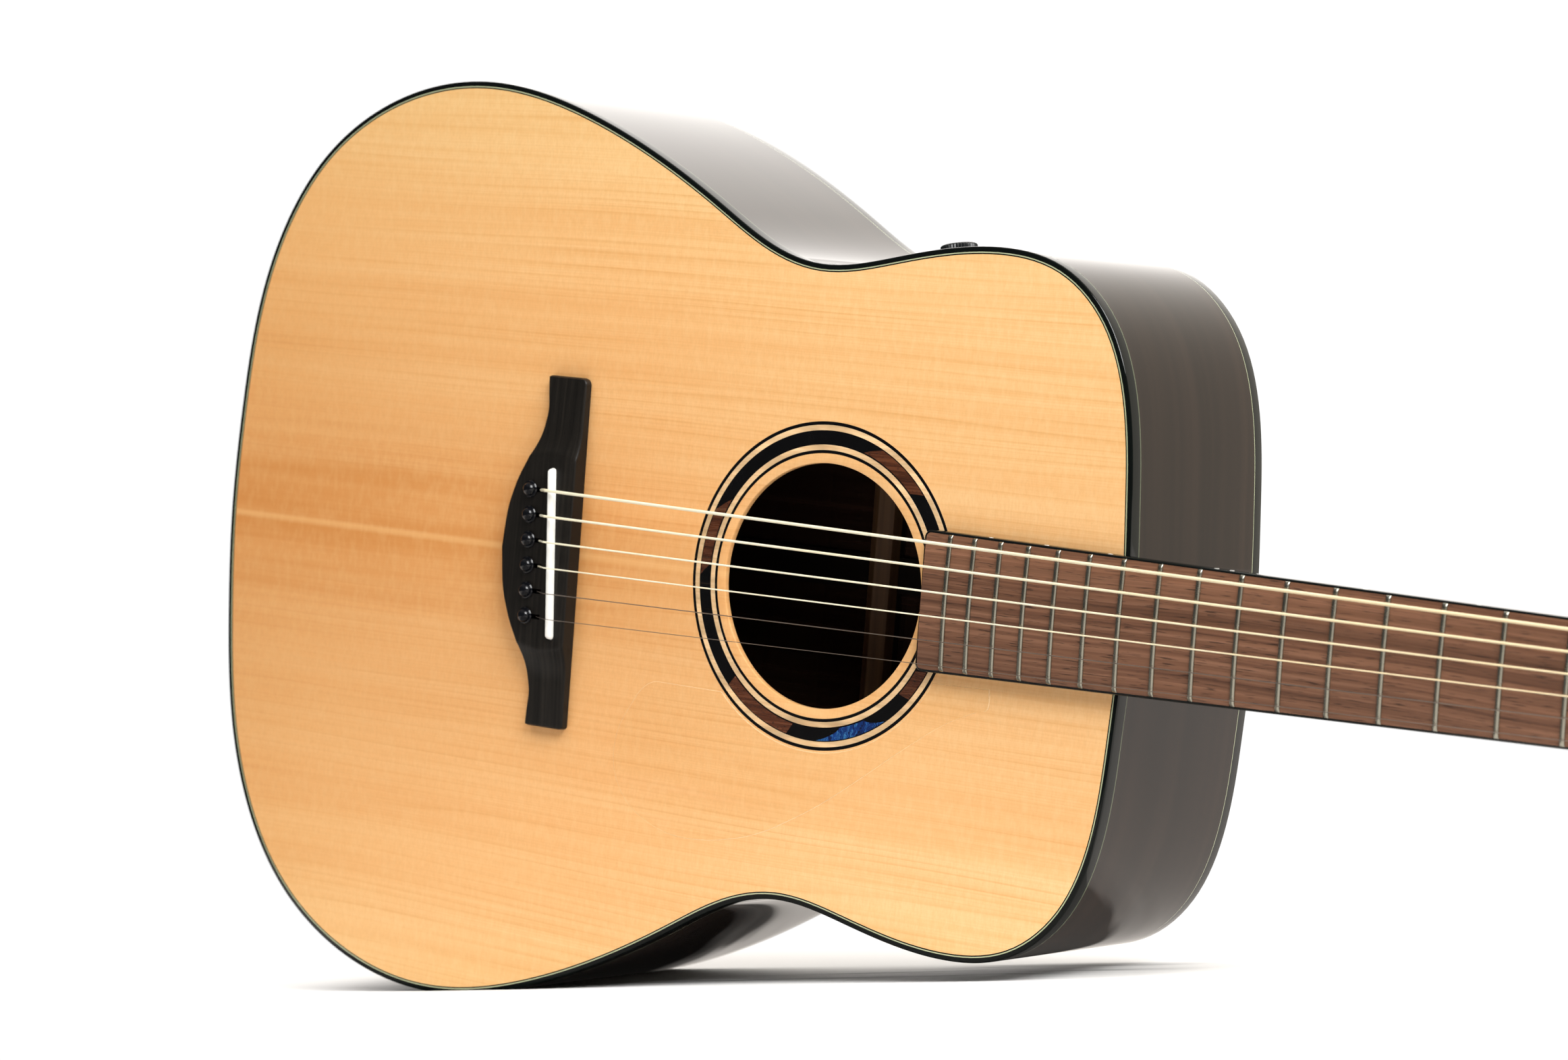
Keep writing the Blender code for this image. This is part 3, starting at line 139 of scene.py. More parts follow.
def carve(name, shell, cutters):
    """A mesh of the shell with each cutter taken away in turn."""
    scene = bpy.context.scene.collection
    work = bpy.data.objects.new(name + "_work", mesh_from(name, shell))
    scene.objects.link(work)
    tools = []
    for cutter in cutters:
        tool = bpy.data.objects.new(name + "_tool", mesh_from("cutter", cutter))
        scene.objects.link(tool)
        tools.append(tool)
        modifier = work.modifiers.new("cut", "BOOLEAN")
        modifier.operation = "DIFFERENCE"
        modifier.object = tool
        modifier.solver = "EXACT"
    bpy.context.view_layer.update()
    result = bpy.data.meshes.new_from_object(
        work.evaluated_get(bpy.context.evaluated_depsgraph_get()))
    for helper in [work] + tools:
        bpy.data.objects.remove(helper, do_unlink=True)
    return result


def piece(name, shape, mat, replaces=None, body="guitar", smooth=34.0):
    """Links a shell or mesh as a piece that rides on a body."""
    mesh = mesh_from(name, shape) if isinstance(shape, Shell) else shape
    mesh.materials.clear()
    mesh.materials.append(mat)
    mesh.shade_smooth()
    mesh.set_sharp_from_angle(angle=math.radians(smooth))
    obj = bpy.data.objects.new(name, mesh)
    bpy.context.scene.collection.objects.link(obj)
    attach(obj, body)
    if replaces:
        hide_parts(replaces)


def unit_circle(count):
    return [(math.cos(math.tau * i / count), math.sin(math.tau * i / count))
            for i in range(count)]


def loft(rings):
    """Closed loops joined in a row, with a face at each end."""
    shell = Shell()
    loops = [shell.loop(ring) for ring in rings]
    for a, b in zip(loops, loops[1:]):
        shell.strip(a, b)
    shell.faces.append(tuple(loops[0][::-1]))
    shell.faces.append(tuple(loops[-1]))
    return shell


def torus_like(rings):
    """Closed loops joined one after another, the last to the first."""
    shell = Shell()
    loops = [shell.loop(ring) for ring in rings]
    for a, b in zip(loops, loops[1:] + loops[:1]):
        shell.strip(a, b)
    return shell


def lathe(profile, count):
    """(radius, height) points turned about +Z, closed up unless both ends are on the axis."""
    shell = Shell()
    rows = []
    for radius, height in profile:
        if radius == 0:
            rows.append(shell.loop([(0.0, 0.0, height)]) * count)
        else:
            rows.append(shell.loop([(radius * c, radius * s, height)
                                    for c, s in unit_circle(count)]))
    pairs = list(zip(rows, rows[1:]))
    if profile[0][0] or profile[-1][0]:
        pairs.append((rows[-1], rows[0]))
    for low, high in pairs:
        for i in range(count):
            j = (i + 1) % count
            # A point on the axis comes twice and is kept once.
            face = dict.fromkeys((low[i], low[j], high[j], high[i]))
            shell.faces.append(tuple(face))
    return shell


def plate(outline, front, back):
    """A sheet between two heights over an (x, z) outline."""
    shell = Shell()
    front_loop = shell.loop([(x, front(x), z) for x, z in outline])
    back_loop = shell.loop([(x, back(x), z) for x, z in outline])
    shell.cap(front_loop)
    shell.cap(back_loop)
    shell.strip(front_loop, back_loop)
    return shell


def tube(path, radius, sides):
    path = [Vector(p) for p in path]
    tangents = [(b - a).normalized() for a, b in zip(path[:1] + path, path[1:] + path[-1:])]
    normal = tangents[0].orthogonal().normalized()
    rings = []
    for point, tangent in zip(path, tangents):
        normal = (normal - tangent * normal.dot(tangent)).normalized()
        side = tangent.cross(normal)
        rings.append([point + radius * (c * normal + s * side) for c, s in unit_circle(sides)])
    return loft(rings)


def keyhole(centre, slot_reach):
    """Outline of a pin hole with a slot towards +X for its string."""
    cx, cz = centre
    start = math.asin(PIN_SLOT_HALF / PIN_HOLE_R)
    angles = [start + (2 * math.pi - 2 * start) * i / 24 for i in range(25)]
    loop = [(cx + PIN_HOLE_R * math.cos(a), cz + PIN_HOLE_R * math.sin(a)) for a in angles]
    return loop + [(cx + slot_reach, cz + side * PIN_SLOT_HALF) for side in (-1, 1)]


def soft_box(x_span, y_span, z_span, radius, edge):
    """A box with rounded upright corners and rounded ends in Z."""
    (x0, x1), (y0, y1), (z0, z1) = x_span, y_span, z_span
    corners = ((x1 - radius, y1 - radius, 0), (x0 + radius, y1 - radius, 90),
               (x0 + radius, y0 + radius, 180), (x1 - radius, y0 + radius, 270))

    def ring(z, inset):
        reach = max(radius - inset, 0.05)
        points = []
        for cx, cy, first in corners:
            for i in range(7):
                a = math.radians(first + 90 * i / 6)
                points.append((cx + reach * math.cos(a), cy + reach * math.sin(a), z))
        return points

    quarter = [math.pi / 2 * i / 4 for i in range(5)]
    steps = [(edge * (1 - math.cos(a)), edge * (1 - math.sin(a))) for a in quarter]
    return loft([ring(z0 + rise, inset) for rise, inset in steps]
                + [ring(z1 - rise, inset) for rise, inset in steps[::-1]])


def hermite(t, start, start_slope, end, end_slope):
    return ((2 * t**3 - 3 * t**2 + 1) * start + (t**3 - 2 * t**2 + t) * start_slope
            + (3 * t**2 - 2 * t**3) * end + (t**3 - t**2) * end_slope)


def smooth_rows(rows, count):
    """Rows of numbers resampled smoothly, without overshoot, against their first column."""
    table = np.array(rows, float)
    x = table[:, 0]
    slopes = np.diff(table, axis=0) / np.diff(x)[:, None]
    tangents = np.zeros_like(table)
    tangents[0], tangents[-1] = slopes[0], slopes[-1]
    for i in range(1, len(x) - 1):
        for column in range(table.shape[1]):
            before, after = slopes[i - 1, column], slopes[i, column]
            if before * after > 0:
                tangents[i, column] = 2 * before * after / (before + after)
    resampled = []
    for fraction in np.linspace(0, 1, count):
        at = x[0] + (x[-1] - x[0]) * fraction
        k = min(max(int(np.searchsorted(x, at, side="right")) - 1, 0), len(x) - 2)
        span = x[k + 1] - x[k]
        row = hermite((at - x[k]) / span, table[k], span * tangents[k],
                      table[k + 1], span * tangents[k + 1])
        row[0] = at
        resampled.append(row)
    return resampled


def rounded(distance, radius):
    """How far a rounded edge falls away at a distance in from its border."""
    if distance >= radius:
        return 0.0
    return radius - math.sqrt(max(0.0, radius * radius - (radius - max(0.0, distance)) ** 2))


# -------------------------------------------------------------- body outline
def dense_half(per_span=90):
    """Points and outward normals of a smooth closed curve through OUTLINE, bass half."""
    p = np.array(OUTLINE + [(x, -z) for x, z in OUTLINE[-2:0:-1]])
    chords = np.linalg.norm(np.roll(p, -1, axis=0) - p, axis=1)
    count = len(p)
    # Tangents that keep the curvature continuous at every point.
    system, target = np.zeros((count, count)), np.zeros((count, 2))
    for i in range(count):
        before, after, following = chords[i - 1], chords[i], (i + 1) % count
        system[i, i - 1] += after
        system[i, i] += 2 * (before + after)
        system[i, following] += before
        target[i] = 3 * (after * (p[i] - p[i - 1]) / before
                         + before * (p[following] - p[i]) / after)
    tangents = np.linalg.solve(system, target)
    points, slopes = [], []
    for i in range(len(OUTLINE) - 1):
        start, end = p[i], p[i + 1]
        leaving, arriving = tangents[i] * chords[i], tangents[i + 1] * chords[i]
        for k in range(per_span):
            t = k / per_span
            points.append(hermite(t, start, leaving, end, arriving))
            slopes.append((6 * t**2 - 6 * t) * start + (3 * t**2 - 4 * t + 1) * leaving
                          + (6 * t - 6 * t**2) * end + (3 * t**2 - 2 * t) * arriving)
    points.append(p[len(OUTLINE) - 1])
    slopes.append(tangents[len(OUTLINE) - 1])
    points, slopes = np.array(points), np.array(slopes)
    normals = np.stack([-slopes[:, 1], slopes[:, 0]], axis=1)
    normals /= np.linalg.norm(normals, axis=1)[:, None]
    return points, normals


DENSE_P, DENSE_N = dense_half()


def half_outline(count, z_tail=0.0, z_neck=0.0):
    """Evenly spaced points and normals between a z near the tail and one near the neck."""
    z = DENSE_P[:, 1]
    index = np.arange(len(z), dtype=float)
    quarter = len(z) // 4
    start = np.interp(z_tail, z[:quarter], index[:quarter])
    end = np.interp(z_neck, z[-quarter:][::-1], index[-quarter:][::-1])
    steps = np.linalg.norm(np.diff(DENSE_P, axis=0), axis=1)
    run = np.cumsum(np.concatenate([[0], steps]))
    run_start, run_end = np.interp([start, end], index, run)
    at = np.interp(np.linspace(run_start, run_end, count), run, index)
    points, normals = (np.stack([np.interp(at, index, source[:, c]) for c in (0, 1)], axis=1)
                       for source in (DENSE_P, DENSE_N))
    normals /= np.linalg.norm(normals, axis=1)[:, None]
    return points, normals


HALF_P, HALF_N = half_outline(170)
HALF_N[0], HALF_N[-1] = (-1.0, 0.0), (1.0, 0.0)


def offset_loop(inset):
    upper = [tuple(q) for q in HALF_P - HALF_N * inset]
    return upper + [(x, -z) for x, z in upper[-2:0:-1]]


def y_back(x):
    return BACK_SLOPE * x


# Height functions of x: a fixed y, and depths into the body from either face.
def level(y):
    return lambda x: y


def from_top(depth):
    return level(TOP + depth)


def from_back(depth):
    return lambda x: y_back(x) - depth


def rim_strip(section):
    """A strip round the body from (inset, height function) corners."""
    return torus_like([[(x, height(x), z) for x, z in offset_loop(inset)]
                       for inset, height in section])


# ----------------------------------------------------------------- materials
class Nodes:
    """Short calls for the nodes of one tree."""

    def __init__(self, tree):
        self.tree = tree

    def put(self, socket, value):
        """Links a node or socket, or sets a value; a colour gets its alpha."""
        if isinstance(value, bpy.types.Node):
            value = value.outputs[0]
        if isinstance(value, bpy.types.NodeSocket):
            self.tree.links.new(value, socket)
        elif isinstance(value, tuple) and len(value) == 3 and len(socket.default_value) == 4:
            socket.default_value = (*value, 1.0)
        else:
            socket.default_value = value

    def node(self, kind, *values, **props):
        node = self.tree.nodes.new("ShaderNode" + kind)
        for key, value in props.items():
            setattr(node, key, value)
        for i, value in enumerate(values):
            if value is not None:
                self.put(node.inputs[i], value)
        return node

    def math(self, operation, *values):
        return self.node("Math", *values, operation=operation)

    def times(self, a, b):
        return self.math("MULTIPLY", a, b)

    def affine(self, value, factor, offset):
        return self.math("MULTIPLY_ADD", value, factor, offset)

    def mix(self, fac, a, b, blend="MIX"):
        node = self.node("Mix", data_type="RGBA", blend_type=blend)
        for i, value in ((0, fac), (6, a), (7, b)):
            self.put(node.inputs[i], value)
        return node.outputs[2]


class Look(Nodes):
    """A Principled material; textures sit in object space, in metres."""

    def __init__(self, name, **inputs):
        self.mat = bpy.data.materials.new(name)
        self.mat.use_nodes = True
        super().__init__(self.mat.node_tree)
        self.shader = self.tree.nodes["Principled BSDF"]
        self.at = self.node("TexCoord").outputs["Object"]
        for key, value in inputs.items():
            self.set(key.replace("_", " "), value)

    def set(self, name, value):
        self.put(self.shader.inputs[name], value)

    def surface(self, shader):
        self.put(self.tree.nodes["Material Output"].inputs[0], shader)

    def axes(self):
        return self.node("SeparateXYZ", self.at).outputs

    def warped(self, at, push):
        return self.node("VectorMath", at, push, operation="ADD")

    def noise(self, scales, detail, rough, at=None, shift=(0, 0, 0), distortion=0.0):
        """Noise with its own frequency, per metre, along each axis."""
        node = self.node("TexNoise")
        mapped = self.node("Mapping", at or self.at, shift, None, scales)
        for key, value in (("Vector", mapped), ("Scale", 1.0), ("Detail", detail),
                           ("Roughness", rough), ("Distortion", distortion)):
            self.put(node.inputs[key], value)
        return node

    def ramp(self, fac, *stops, interpolation="LINEAR"):
        """(position, grey or colour) stops."""
        node = self.node("ValToRGB", fac)
        ramp = node.color_ramp
        ramp.interpolation = interpolation
        while len(ramp.elements) < len(stops):
            ramp.elements.new(0.5)
        for element, (position, _) in zip(ramp.elements, stops):
            element.position = position
        for element, (_, colour) in zip(ramp.elements, stops):
            colour = colour if isinstance(colour, tuple) else (colour,) * 3
            element.color = (*colour, 1.0)
        return node

    def rise(self, fac, low, high):
        """0 up to low, 1 from high on."""
        return self.ramp(fac, (low, 0.0), (high, 1.0))

    def tint(self, colour, towards, where, amount):
        return self.mix(self.times(where, amount), colour, towards)

    def shade(self, colour, tone):
        return self.mix(1.0, colour, tone, "MULTIPLY")

    def bump(self, height, distance, strength):
        node = self.node("Bump")
        for key, value in (("Height", height), ("Distance", distance), ("Strength", strength)):
            self.put(node.inputs[key], value)
        return node


def spruce_top():
    look = Look("spruce_top_gloss", Coat_Weight=0.35, Coat_Roughness=0.12, Coat_IOR=1.45)
    x, _, z = look.axes()

    def from_centre(scale):
        return look.times(look.math("ABSOLUTE", z), scale)

    def tail_to_neck():
        return look.affine(x, factor=2.0, offset=0.5)

    # Grain space: mirrored about the centre line, shifted on the bass side, swaying a little.
    bass_side = look.math("GREATER_THAN", z, 0.0)
    sway = look.noise((2.2, 1, 5.0), detail=2.0, rough=0.5)
    across = look.math("ADD", look.math("ABSOLUTE", z), look.times(sway, 0.012))
    flow = look.node("CombineXYZ", look.math("ADD", x, look.times(bass_side, 3.1)), 0.0, across)
    rings = look.noise((3.5, 1, 760.0), detail=2.5, rough=0.6, at=flow)
    fine = look.noise((9.0, 1, 1900.0), detail=2.0, rough=0.6, at=flow)
    bands = look.noise((1.4, 1, 75.0), detail=3.0, rough=0.6, at=flow)

    def year_lines(per_metre, drift, seed):
        """Each ring darkens slowly across itself and ends in a crisp line."""
        slow = look.noise((0.9, 1, 38.0), detail=2.0, rough=0.5, at=flow, shift=(seed, 0, seed))
        saw = look.math("FRACT", look.affine(slow, drift, look.times(across, per_metre)))
        shape = look.ramp(saw, (0.0, 0.30), (0.10, 0.0), (0.60, 0.06), (0.86, 0.55),
                          (0.95, 1.0), (1.0, 0.30))
        force = look.noise((4.0, 1, 95.0), detail=2.0, rough=0.5, at=flow, shift=(0, 0, seed * 3))
        return look.times(shape, look.ramp(force, (0.36, 0.10), (0.66, 1.0)))

    wide_rings = year_lines(per_metre=235.0, drift=7.0, seed=2.0)
    tight_rings = year_lines(per_metre=720.0, drift=16.0, seed=5.0)
    silk = look.noise((1150.0, 1, 300.0), detail=3.0, rough=0.7)
    weave = look.noise((300.0, 1, 120.0), detail=2.0, rough=0.6)
    speck = look.noise((1500.0, 1, 1100.0), detail=1.0, rough=0.5)
    cloud = look.noise((5.0, 1, 9.0), detail=2.0, rough=0.5)

    colour = look.ramp(bands, (0.30, (0.850, 0.405, 0.142)), (0.50, (0.900, 0.460, 0.175)),
                       (0.70, (0.930, 0.510, 0.212)))
    late = look.ramp(rings, (0.42, 0.0), (0.60, 0.25), (0.72, 1.0))
    colour = look.tint(colour, (0.70, 0.310, 0.085), where=late, amount=0.14)
    calm = look.ramp(tail_to_neck(), (0.10, 0.50), (0.55, 1.0))
    colour = look.tint(colour, (0.72, 0.275, 0.060), look.times(wide_rings, calm), amount=0.72)
    colour = look.tint(colour, (0.72, 0.300, 0.075), look.times(tight_rings, calm), amount=0.38)
    colour = look.tint(colour, (0.97, 0.64, 0.31), look.rise(fine, 0.40, 0.70), amount=0.16)
    shine = look.ramp(silk, (0.42, 0.0), (0.52, 0.5), (0.62, 1.0))
    colour = look.tint(colour, (0.72, 0.34, 0.11), where=shine, amount=0.24)

    # A warm, streaky band along the centre line, strongest at the tail.
    wander = look.noise((3.0, 1, 40.0), detail=2.0, rough=0.5, at=flow, shift=(2, 0, 9))
    band_edge = look.affine(wander, factor=0.16, offset=from_centre(10.0))
    near = look.ramp(band_edge, (0.31, 1.0), (0.50, 0.24), (0.72, 0.0))
    tailward = look.ramp(tail_to_neck(), (0.10, 1.0), (0.40, 0.9), (0.58, 0.30))
    streaks = look.noise((2.4, 1, 62.0), detail=3.0, rough=0.6, at=flow, shift=(7, 0, 3))
    streak = look.ramp(streaks, (0.40, 0.45), (0.58, 1.0))
    warm = look.times(look.times(near, tailward), streak)
    colour = look.tint(colour, (0.70, 0.275, 0.066), where=warm, amount=0.80)
    colour = look.tint(colour, (0.97, 0.62, 0.29), look.rise(weave, 0.45, 0.65), amount=0.14)
    colour = look.tint(colour, (0.62, 0.27, 0.07), look.rise(speck, 0.66, 0.74), amount=0.20)

    # Broad tones, partly the wood's own tone and partly painted light and shade: paler to the
    # edges, darker at the tail, then darker on the treble side, which lies lowest.
    colour = look.shade(colour, look.ramp(
        from_centre(5.0), (0.0, (0.94, 0.93, 0.90)), (0.16, (0.95, 0.96, 0.96)),
        (0.38, (0.965, 0.99, 0.99)), (0.60, (1.02, 1.09, 1.13)),
        (0.78, (1.03, 1.15, 1.22)), (1.0, (1.05, 1.28, 1.42))))
    colour = look.shade(colour, look.ramp(
        tail_to_neck(), (0.0, (0.88, 0.83, 0.76)), (0.28, (0.95, 0.94, 0.93)),
        (0.46, (0.985, 0.99, 1.0)), (0.70, (1.02, 1.10, 1.19)), (1.0, (1.02, 1.13, 1.26))))
    colour = look.shade(colour, look.ramp(
        look.affine(z, factor=2.5, offset=0.5), (0.05, (0.90, 0.87, 0.84)),
        (0.34, (0.94, 0.93, 0.93)), (0.50, (1.0, 1.0, 1.0))))
    colour = look.tint(colour, (0.88, 0.52, 0.22), look.rise(cloud, 0.35, 0.65), amount=0.10)
    from_seam = look.math("ABSOLUTE", look.math("ADD", z, 0.0003))
    seam = look.ramp(look.times(from_seam, 100.0), (0.04, 1.0), (0.22, 0.0))
    colour = look.tint(colour, (0.95, 0.60, 0.26), where=seam, amount=0.32)
    look.set("Base Color", colour)
    look.set("Roughness", look.affine(silk, factor=0.14, offset=0.26))
    height = look.math("ADD", look.times(rings, 0.6), look.times(fine, 0.4))
    look.set("Normal", look.bump(height, distance=0.00002, strength=0.35))
    return look.mat


def grained(name, colours, across, stripes, along, roughness, coat=0.0, coat_roughness=0.05,
            pores=0.0, pore_stripes=900.0, bump=0.00003, mirrored=False, spec=0.5):
    """A striped wood.

    colours are dark, middle and light; stripes and pore_stripes are frequencies on the
    axis across the grain, along on the other two; roughness is its least and its range.
    """
    look = Look(name, Coat_Weight=coat, Coat_Roughness=coat_roughness, Specular_IOR_Level=spec)
    dark, middle, light = colours
    at = look.at
    if mirrored:
        x, y, z = look.axes()
        at = look.node("CombineXYZ", x, y, look.math("ABSOLUTE", z))

    def scales(crosswise, lengthwise):
        return tuple(crosswise if axis == across else lengthwise for axis in "xyz")

    sway = look.noise((3.0, 3.0, 3.0), detail=2.0, rough=0.5, at=at)
    swayed = look.warped(at, look.times(sway, 0.02))
    stripe = look.noise(scales(stripes, along), detail=3.5, rough=0.6, at=swayed)
    broad = look.noise(scales(stripes * 0.14, along * 0.6), detail=3.0, rough=0.55, at=swayed)
    colour = look.ramp(stripe, (0.25, dark), (0.5, middle), (0.78, light))
    colour = look.shade(colour, look.ramp(broad, (0.3, 0.62), (0.7, 1.25)))
    height = stripe
    if pores:
        specks = look.noise(scales(pore_stripes, along * 26.0), detail=2.0, rough=0.5, at=at)
        pore = look.rise(specks, 0.60, 0.68)
        colour = look.tint(colour, tuple(c * 0.25 for c in dark), where=pore, amount=pores)
        height = look.math("SUBTRACT", look.times(stripe, 0.3), pore)
    look.set("Base Color", colour)
    least, spread = roughness
    look.set("Roughness", look.affine(stripe, factor=spread, offset=least))
    if bump:
        look.set("Normal", look.bump(height, distance=bump, strength=0.6))
    return look.mat


def plain(name, colour, roughness, vary, scale, tint, bump=0.0, **inputs):
    """A moulded or polished material, faintly clouded by tint in tone and vary in gloss."""
    look = Look(name, **inputs)
    cloud = look.noise((scale,) * 3, detail=4.0, rough=0.6)
    tone = look.ramp(cloud, (0.3, 1.0 - tint), (0.7, 1.0 + tint))
    look.set("Base Color", look.shade(colour, tone))
    look.set("Roughness", look.affine(cloud, vary, max(0.01, roughness - vary / 2)))
    if bump:
        fine = look.noise((scale * 16,) * 3, detail=2.0, rough=0.5)
        look.set("Normal", look.bump(fine, distance=bump, strength=0.5))
    return look.mat


def wound():
    look = Look("wound_bronze_strings", Metallic=0.22)
    x = look.axes()[0]
    winding_pitch = 0.00042
    turn = look.math("SINE", look.times(x, 2 * math.pi / winding_pitch))
    cloud = look.noise((30, 300, 300), detail=3.0, rough=0.6)
    pale = look.ramp(cloud, (0.3, (0.99, 0.89, 0.62)), (0.7, (0.99, 0.97, 0.79)))
    # Paler near the bridge and deeper gold up the neck: painted light, not a change in the bronze.
    painted_light_up_neck = look.ramp(x, (0.16, 0.0), (0.36, 0.6))
    look.set("Base Color", look.mix(painted_light_up_neck, pale, (0.93, 0.68, 0.34)))
    look.set("Roughness", look.affine(cloud, factor=0.10, offset=0.30))
    look.set("Normal", look.bump(turn, distance=0.00003, strength=0.5))
    return look.mat


def abalone():
    look = Look("abalone_inlay", Coat_Weight=1.0, Coat_Roughness=0.05, Metallic=0.25)
    warp = look.noise((240, 240, 240), detail=3.0, rough=0.6)
    bent = look.warped(look.at, look.times(warp, 0.010))
    layers = look.noise((620, 40, 90), detail=2.0, rough=0.5, at=bent, distortion=0.4)
    look.set("Base Color", look.ramp(
        layers, (0.30, (0.002, 0.005, 0.022)), (0.43, (0.004, 0.020, 0.11)),
        (0.52, (0.006, 0.050, 0.25)), (0.57, (0.04, 0.19, 0.42)),
        (0.62, (0.008, 0.045, 0.22)), (0.78, (0.002, 0.008, 0.045))))
    look.set("Roughness", look.affine(warp, factor=0.15, offset=0.14))
    return look.mat


def clear_film():
    """Clear all through; the cut edge gets a painted pale highlight, seen by the camera only."""
    look = Look("clear_film_gloss", Roughness=0.3, Base_Color=(0.95, 0.74, 0.48))
    clear = look.node("BsdfTransparent", (1.0, 0.998, 0.992))
    gloss = look.node("BsdfGlossy")
    wave = look.noise((35, 35, 35), detail=3.0, rough=0.5)
    look.put(gloss.inputs["Roughness"], look.affine(wave, factor=0.04, offset=0.05))
    look.put(gloss.inputs["Normal"], look.bump(wave, distance=0.0002, strength=0.2))
    shape = look.node("NewGeometry")
    front = look.math("SUBTRACT", 1.0, shape.outputs["Backfacing"])
    direct = look.times(front, look.node("LightPath").outputs["Is Camera Ray"])
    face_gloss, edge_glint_strength = 0.02, 0.30
    face = look.node("MixShader", look.times(direct, face_gloss), clear, gloss)
    # The cut edge is wherever the surface leans away from the film's flat face.
    tilt = look.node("SeparateXYZ", shape.outputs["True Normal"])
    wall = look.math("LESS_THAN", look.math("ABSOLUTE", tilt.outputs[1]), 0.93)
    edge = look.times(look.times(wall, direct), edge_glint_strength)
    # The pale edge is a painted highlight.
    look.surface(look.node("MixShader", edge, face, look.shader))
    return look.mat


def ladder_spruce():
    """Back braces of bare spruce, with a painted shade, nearly black, within about 6 mm of the
    back's outer face.
    """
    look = Look("back_brace_spruce", Roughness=0.6)
    x, y, _ = look.axes()
    stripe = look.noise((420.0, 60.0, 6.0), detail=3.0, rough=0.6)
    bare = look.ramp(stripe, (0.3, (0.155, 0.072, 0.027)), (0.7, (0.26, 0.130, 0.052)))
    depth = look.math("SUBTRACT", look.times(x, BACK_SLOPE), y)
    clear_of_painted_shade = look.rise(look.times(depth, 100.0), 0.60, 0.66)
    # Near the back the brace gets a painted shade, nearly black.
    look.set("Base Color", look.mix(clear_of_painted_shade, (0.010, 0.005, 0.003), bare))
    look.set("Normal", look.bump(stripe, distance=0.00008, strength=0.6))
    return look.mat


LACQUER = {"Coat_Weight": 1.0, "Coat_Roughness": 0.03}
SPRUCE = spruce_top()
SIDE_WOOD = grained(
    "rosewood_sides_gloss",
    ((0.0120, 0.0073, 0.0052), (0.017, 0.010, 0.007), (0.024, 0.0140, 0.0092)),
    across="y", stripes=260.0, along=2.0, roughness=(0.30, 0.08),
    coat=1.0, coat_roughness=0.025, bump=0.0, spec=0.0)
BACK_WOOD = grained(
    "rosewood_back_gloss",
    ((0.016, 0.008, 0.006), (0.045, 0.022, 0.015), (0.105, 0.052, 0.034)),
    across="z", stripes=230.0, along=1.8, roughness=(0.12, 0.08),
    coat=1.0, coat_roughness=0.03, bump=0.0, mirrored=True)
BOARD = grained(
    "rosewood_fingerboard",
    ((0.075, 0.029, 0.015), (0.180, 0.079, 0.041), (0.290, 0.140, 0.080)),
    across="z", stripes=620.0, along=4.0, roughness=(0.42, 0.18),
    pores=0.80, pore_stripes=2100.0, bump=0.00008)
INLAY_WOOD = grained(
    "rosewood_inlay",
    ((0.020, 0.005, 0.0025), (0.085, 0.024, 0.009), (0.165, 0.053, 0.020)),
    across="z", stripes=700.0, along=30.0, roughness=(0.22, 0.1),
    coat=0.6, coat_roughness=0.1, pores=0.6, pore_stripes=1800.0)
EBONY = grained(
    "ebony_satin",
    ((0.005, 0.0042, 0.0035), (0.0100, 0.0085, 0.0070), (0.022, 0.018, 0.014)),
    across="x", stripes=700.0, along=9.0, roughness=(0.31, 0.16),
    pores=0.4, pore_stripes=1800.0, bump=0.00004, spec=0.24)
VENEER = grained(
    "rosewood_veneer_gloss",
    ((0.014, 0.008, 0.006), (0.040, 0.020, 0.014), (0.090, 0.046, 0.030)),
    across="z", stripes=420.0, along=3.0, roughness=(0.14, 0.1), coat=0.9, bump=0.0)
NECK_WOOD = grained(
    "mahogany_satin",
    ((0.115, 0.040, 0.018), (0.205, 0.078, 0.034), (0.300, 0.125, 0.056)),
    across="z", stripes=260.0, along=2.6, roughness=(0.26, 0.14),
    coat=0.35, coat_roughness=0.18, pores=0.55, pore_stripes=1300.0)
BRACE = grained(
    "brace_spruce_raw", ((0.25, 0.125, 0.052), (0.36, 0.20, 0.090), (0.46, 0.28, 0.14)),
    across="z", stripes=520.0, along=5.0, roughness=(0.55, 0.2), bump=0.00008)
BLOCK = grained(
    "block_mahogany_raw", ((0.13, 0.055, 0.026), (0.21, 0.095, 0.046), (0.29, 0.145, 0.075)),
    across="z", stripes=330.0, along=5.0, roughness=(0.6, 0.2), pores=0.5, bump=0.00008)
BLACK_EDGE = plain("black_binding_gloss", (0.0024, 0.0036, 0.0032), roughness=0.24, vary=0.08,
                   scale=40, tint=0.2, Specular_IOR_Level=0.0, **LACQUER)
CREAM = plain("cream_purfling", (0.42, 0.455, 0.28), roughness=0.32, vary=0.1,
              scale=90, tint=0.08, **LACQUER)
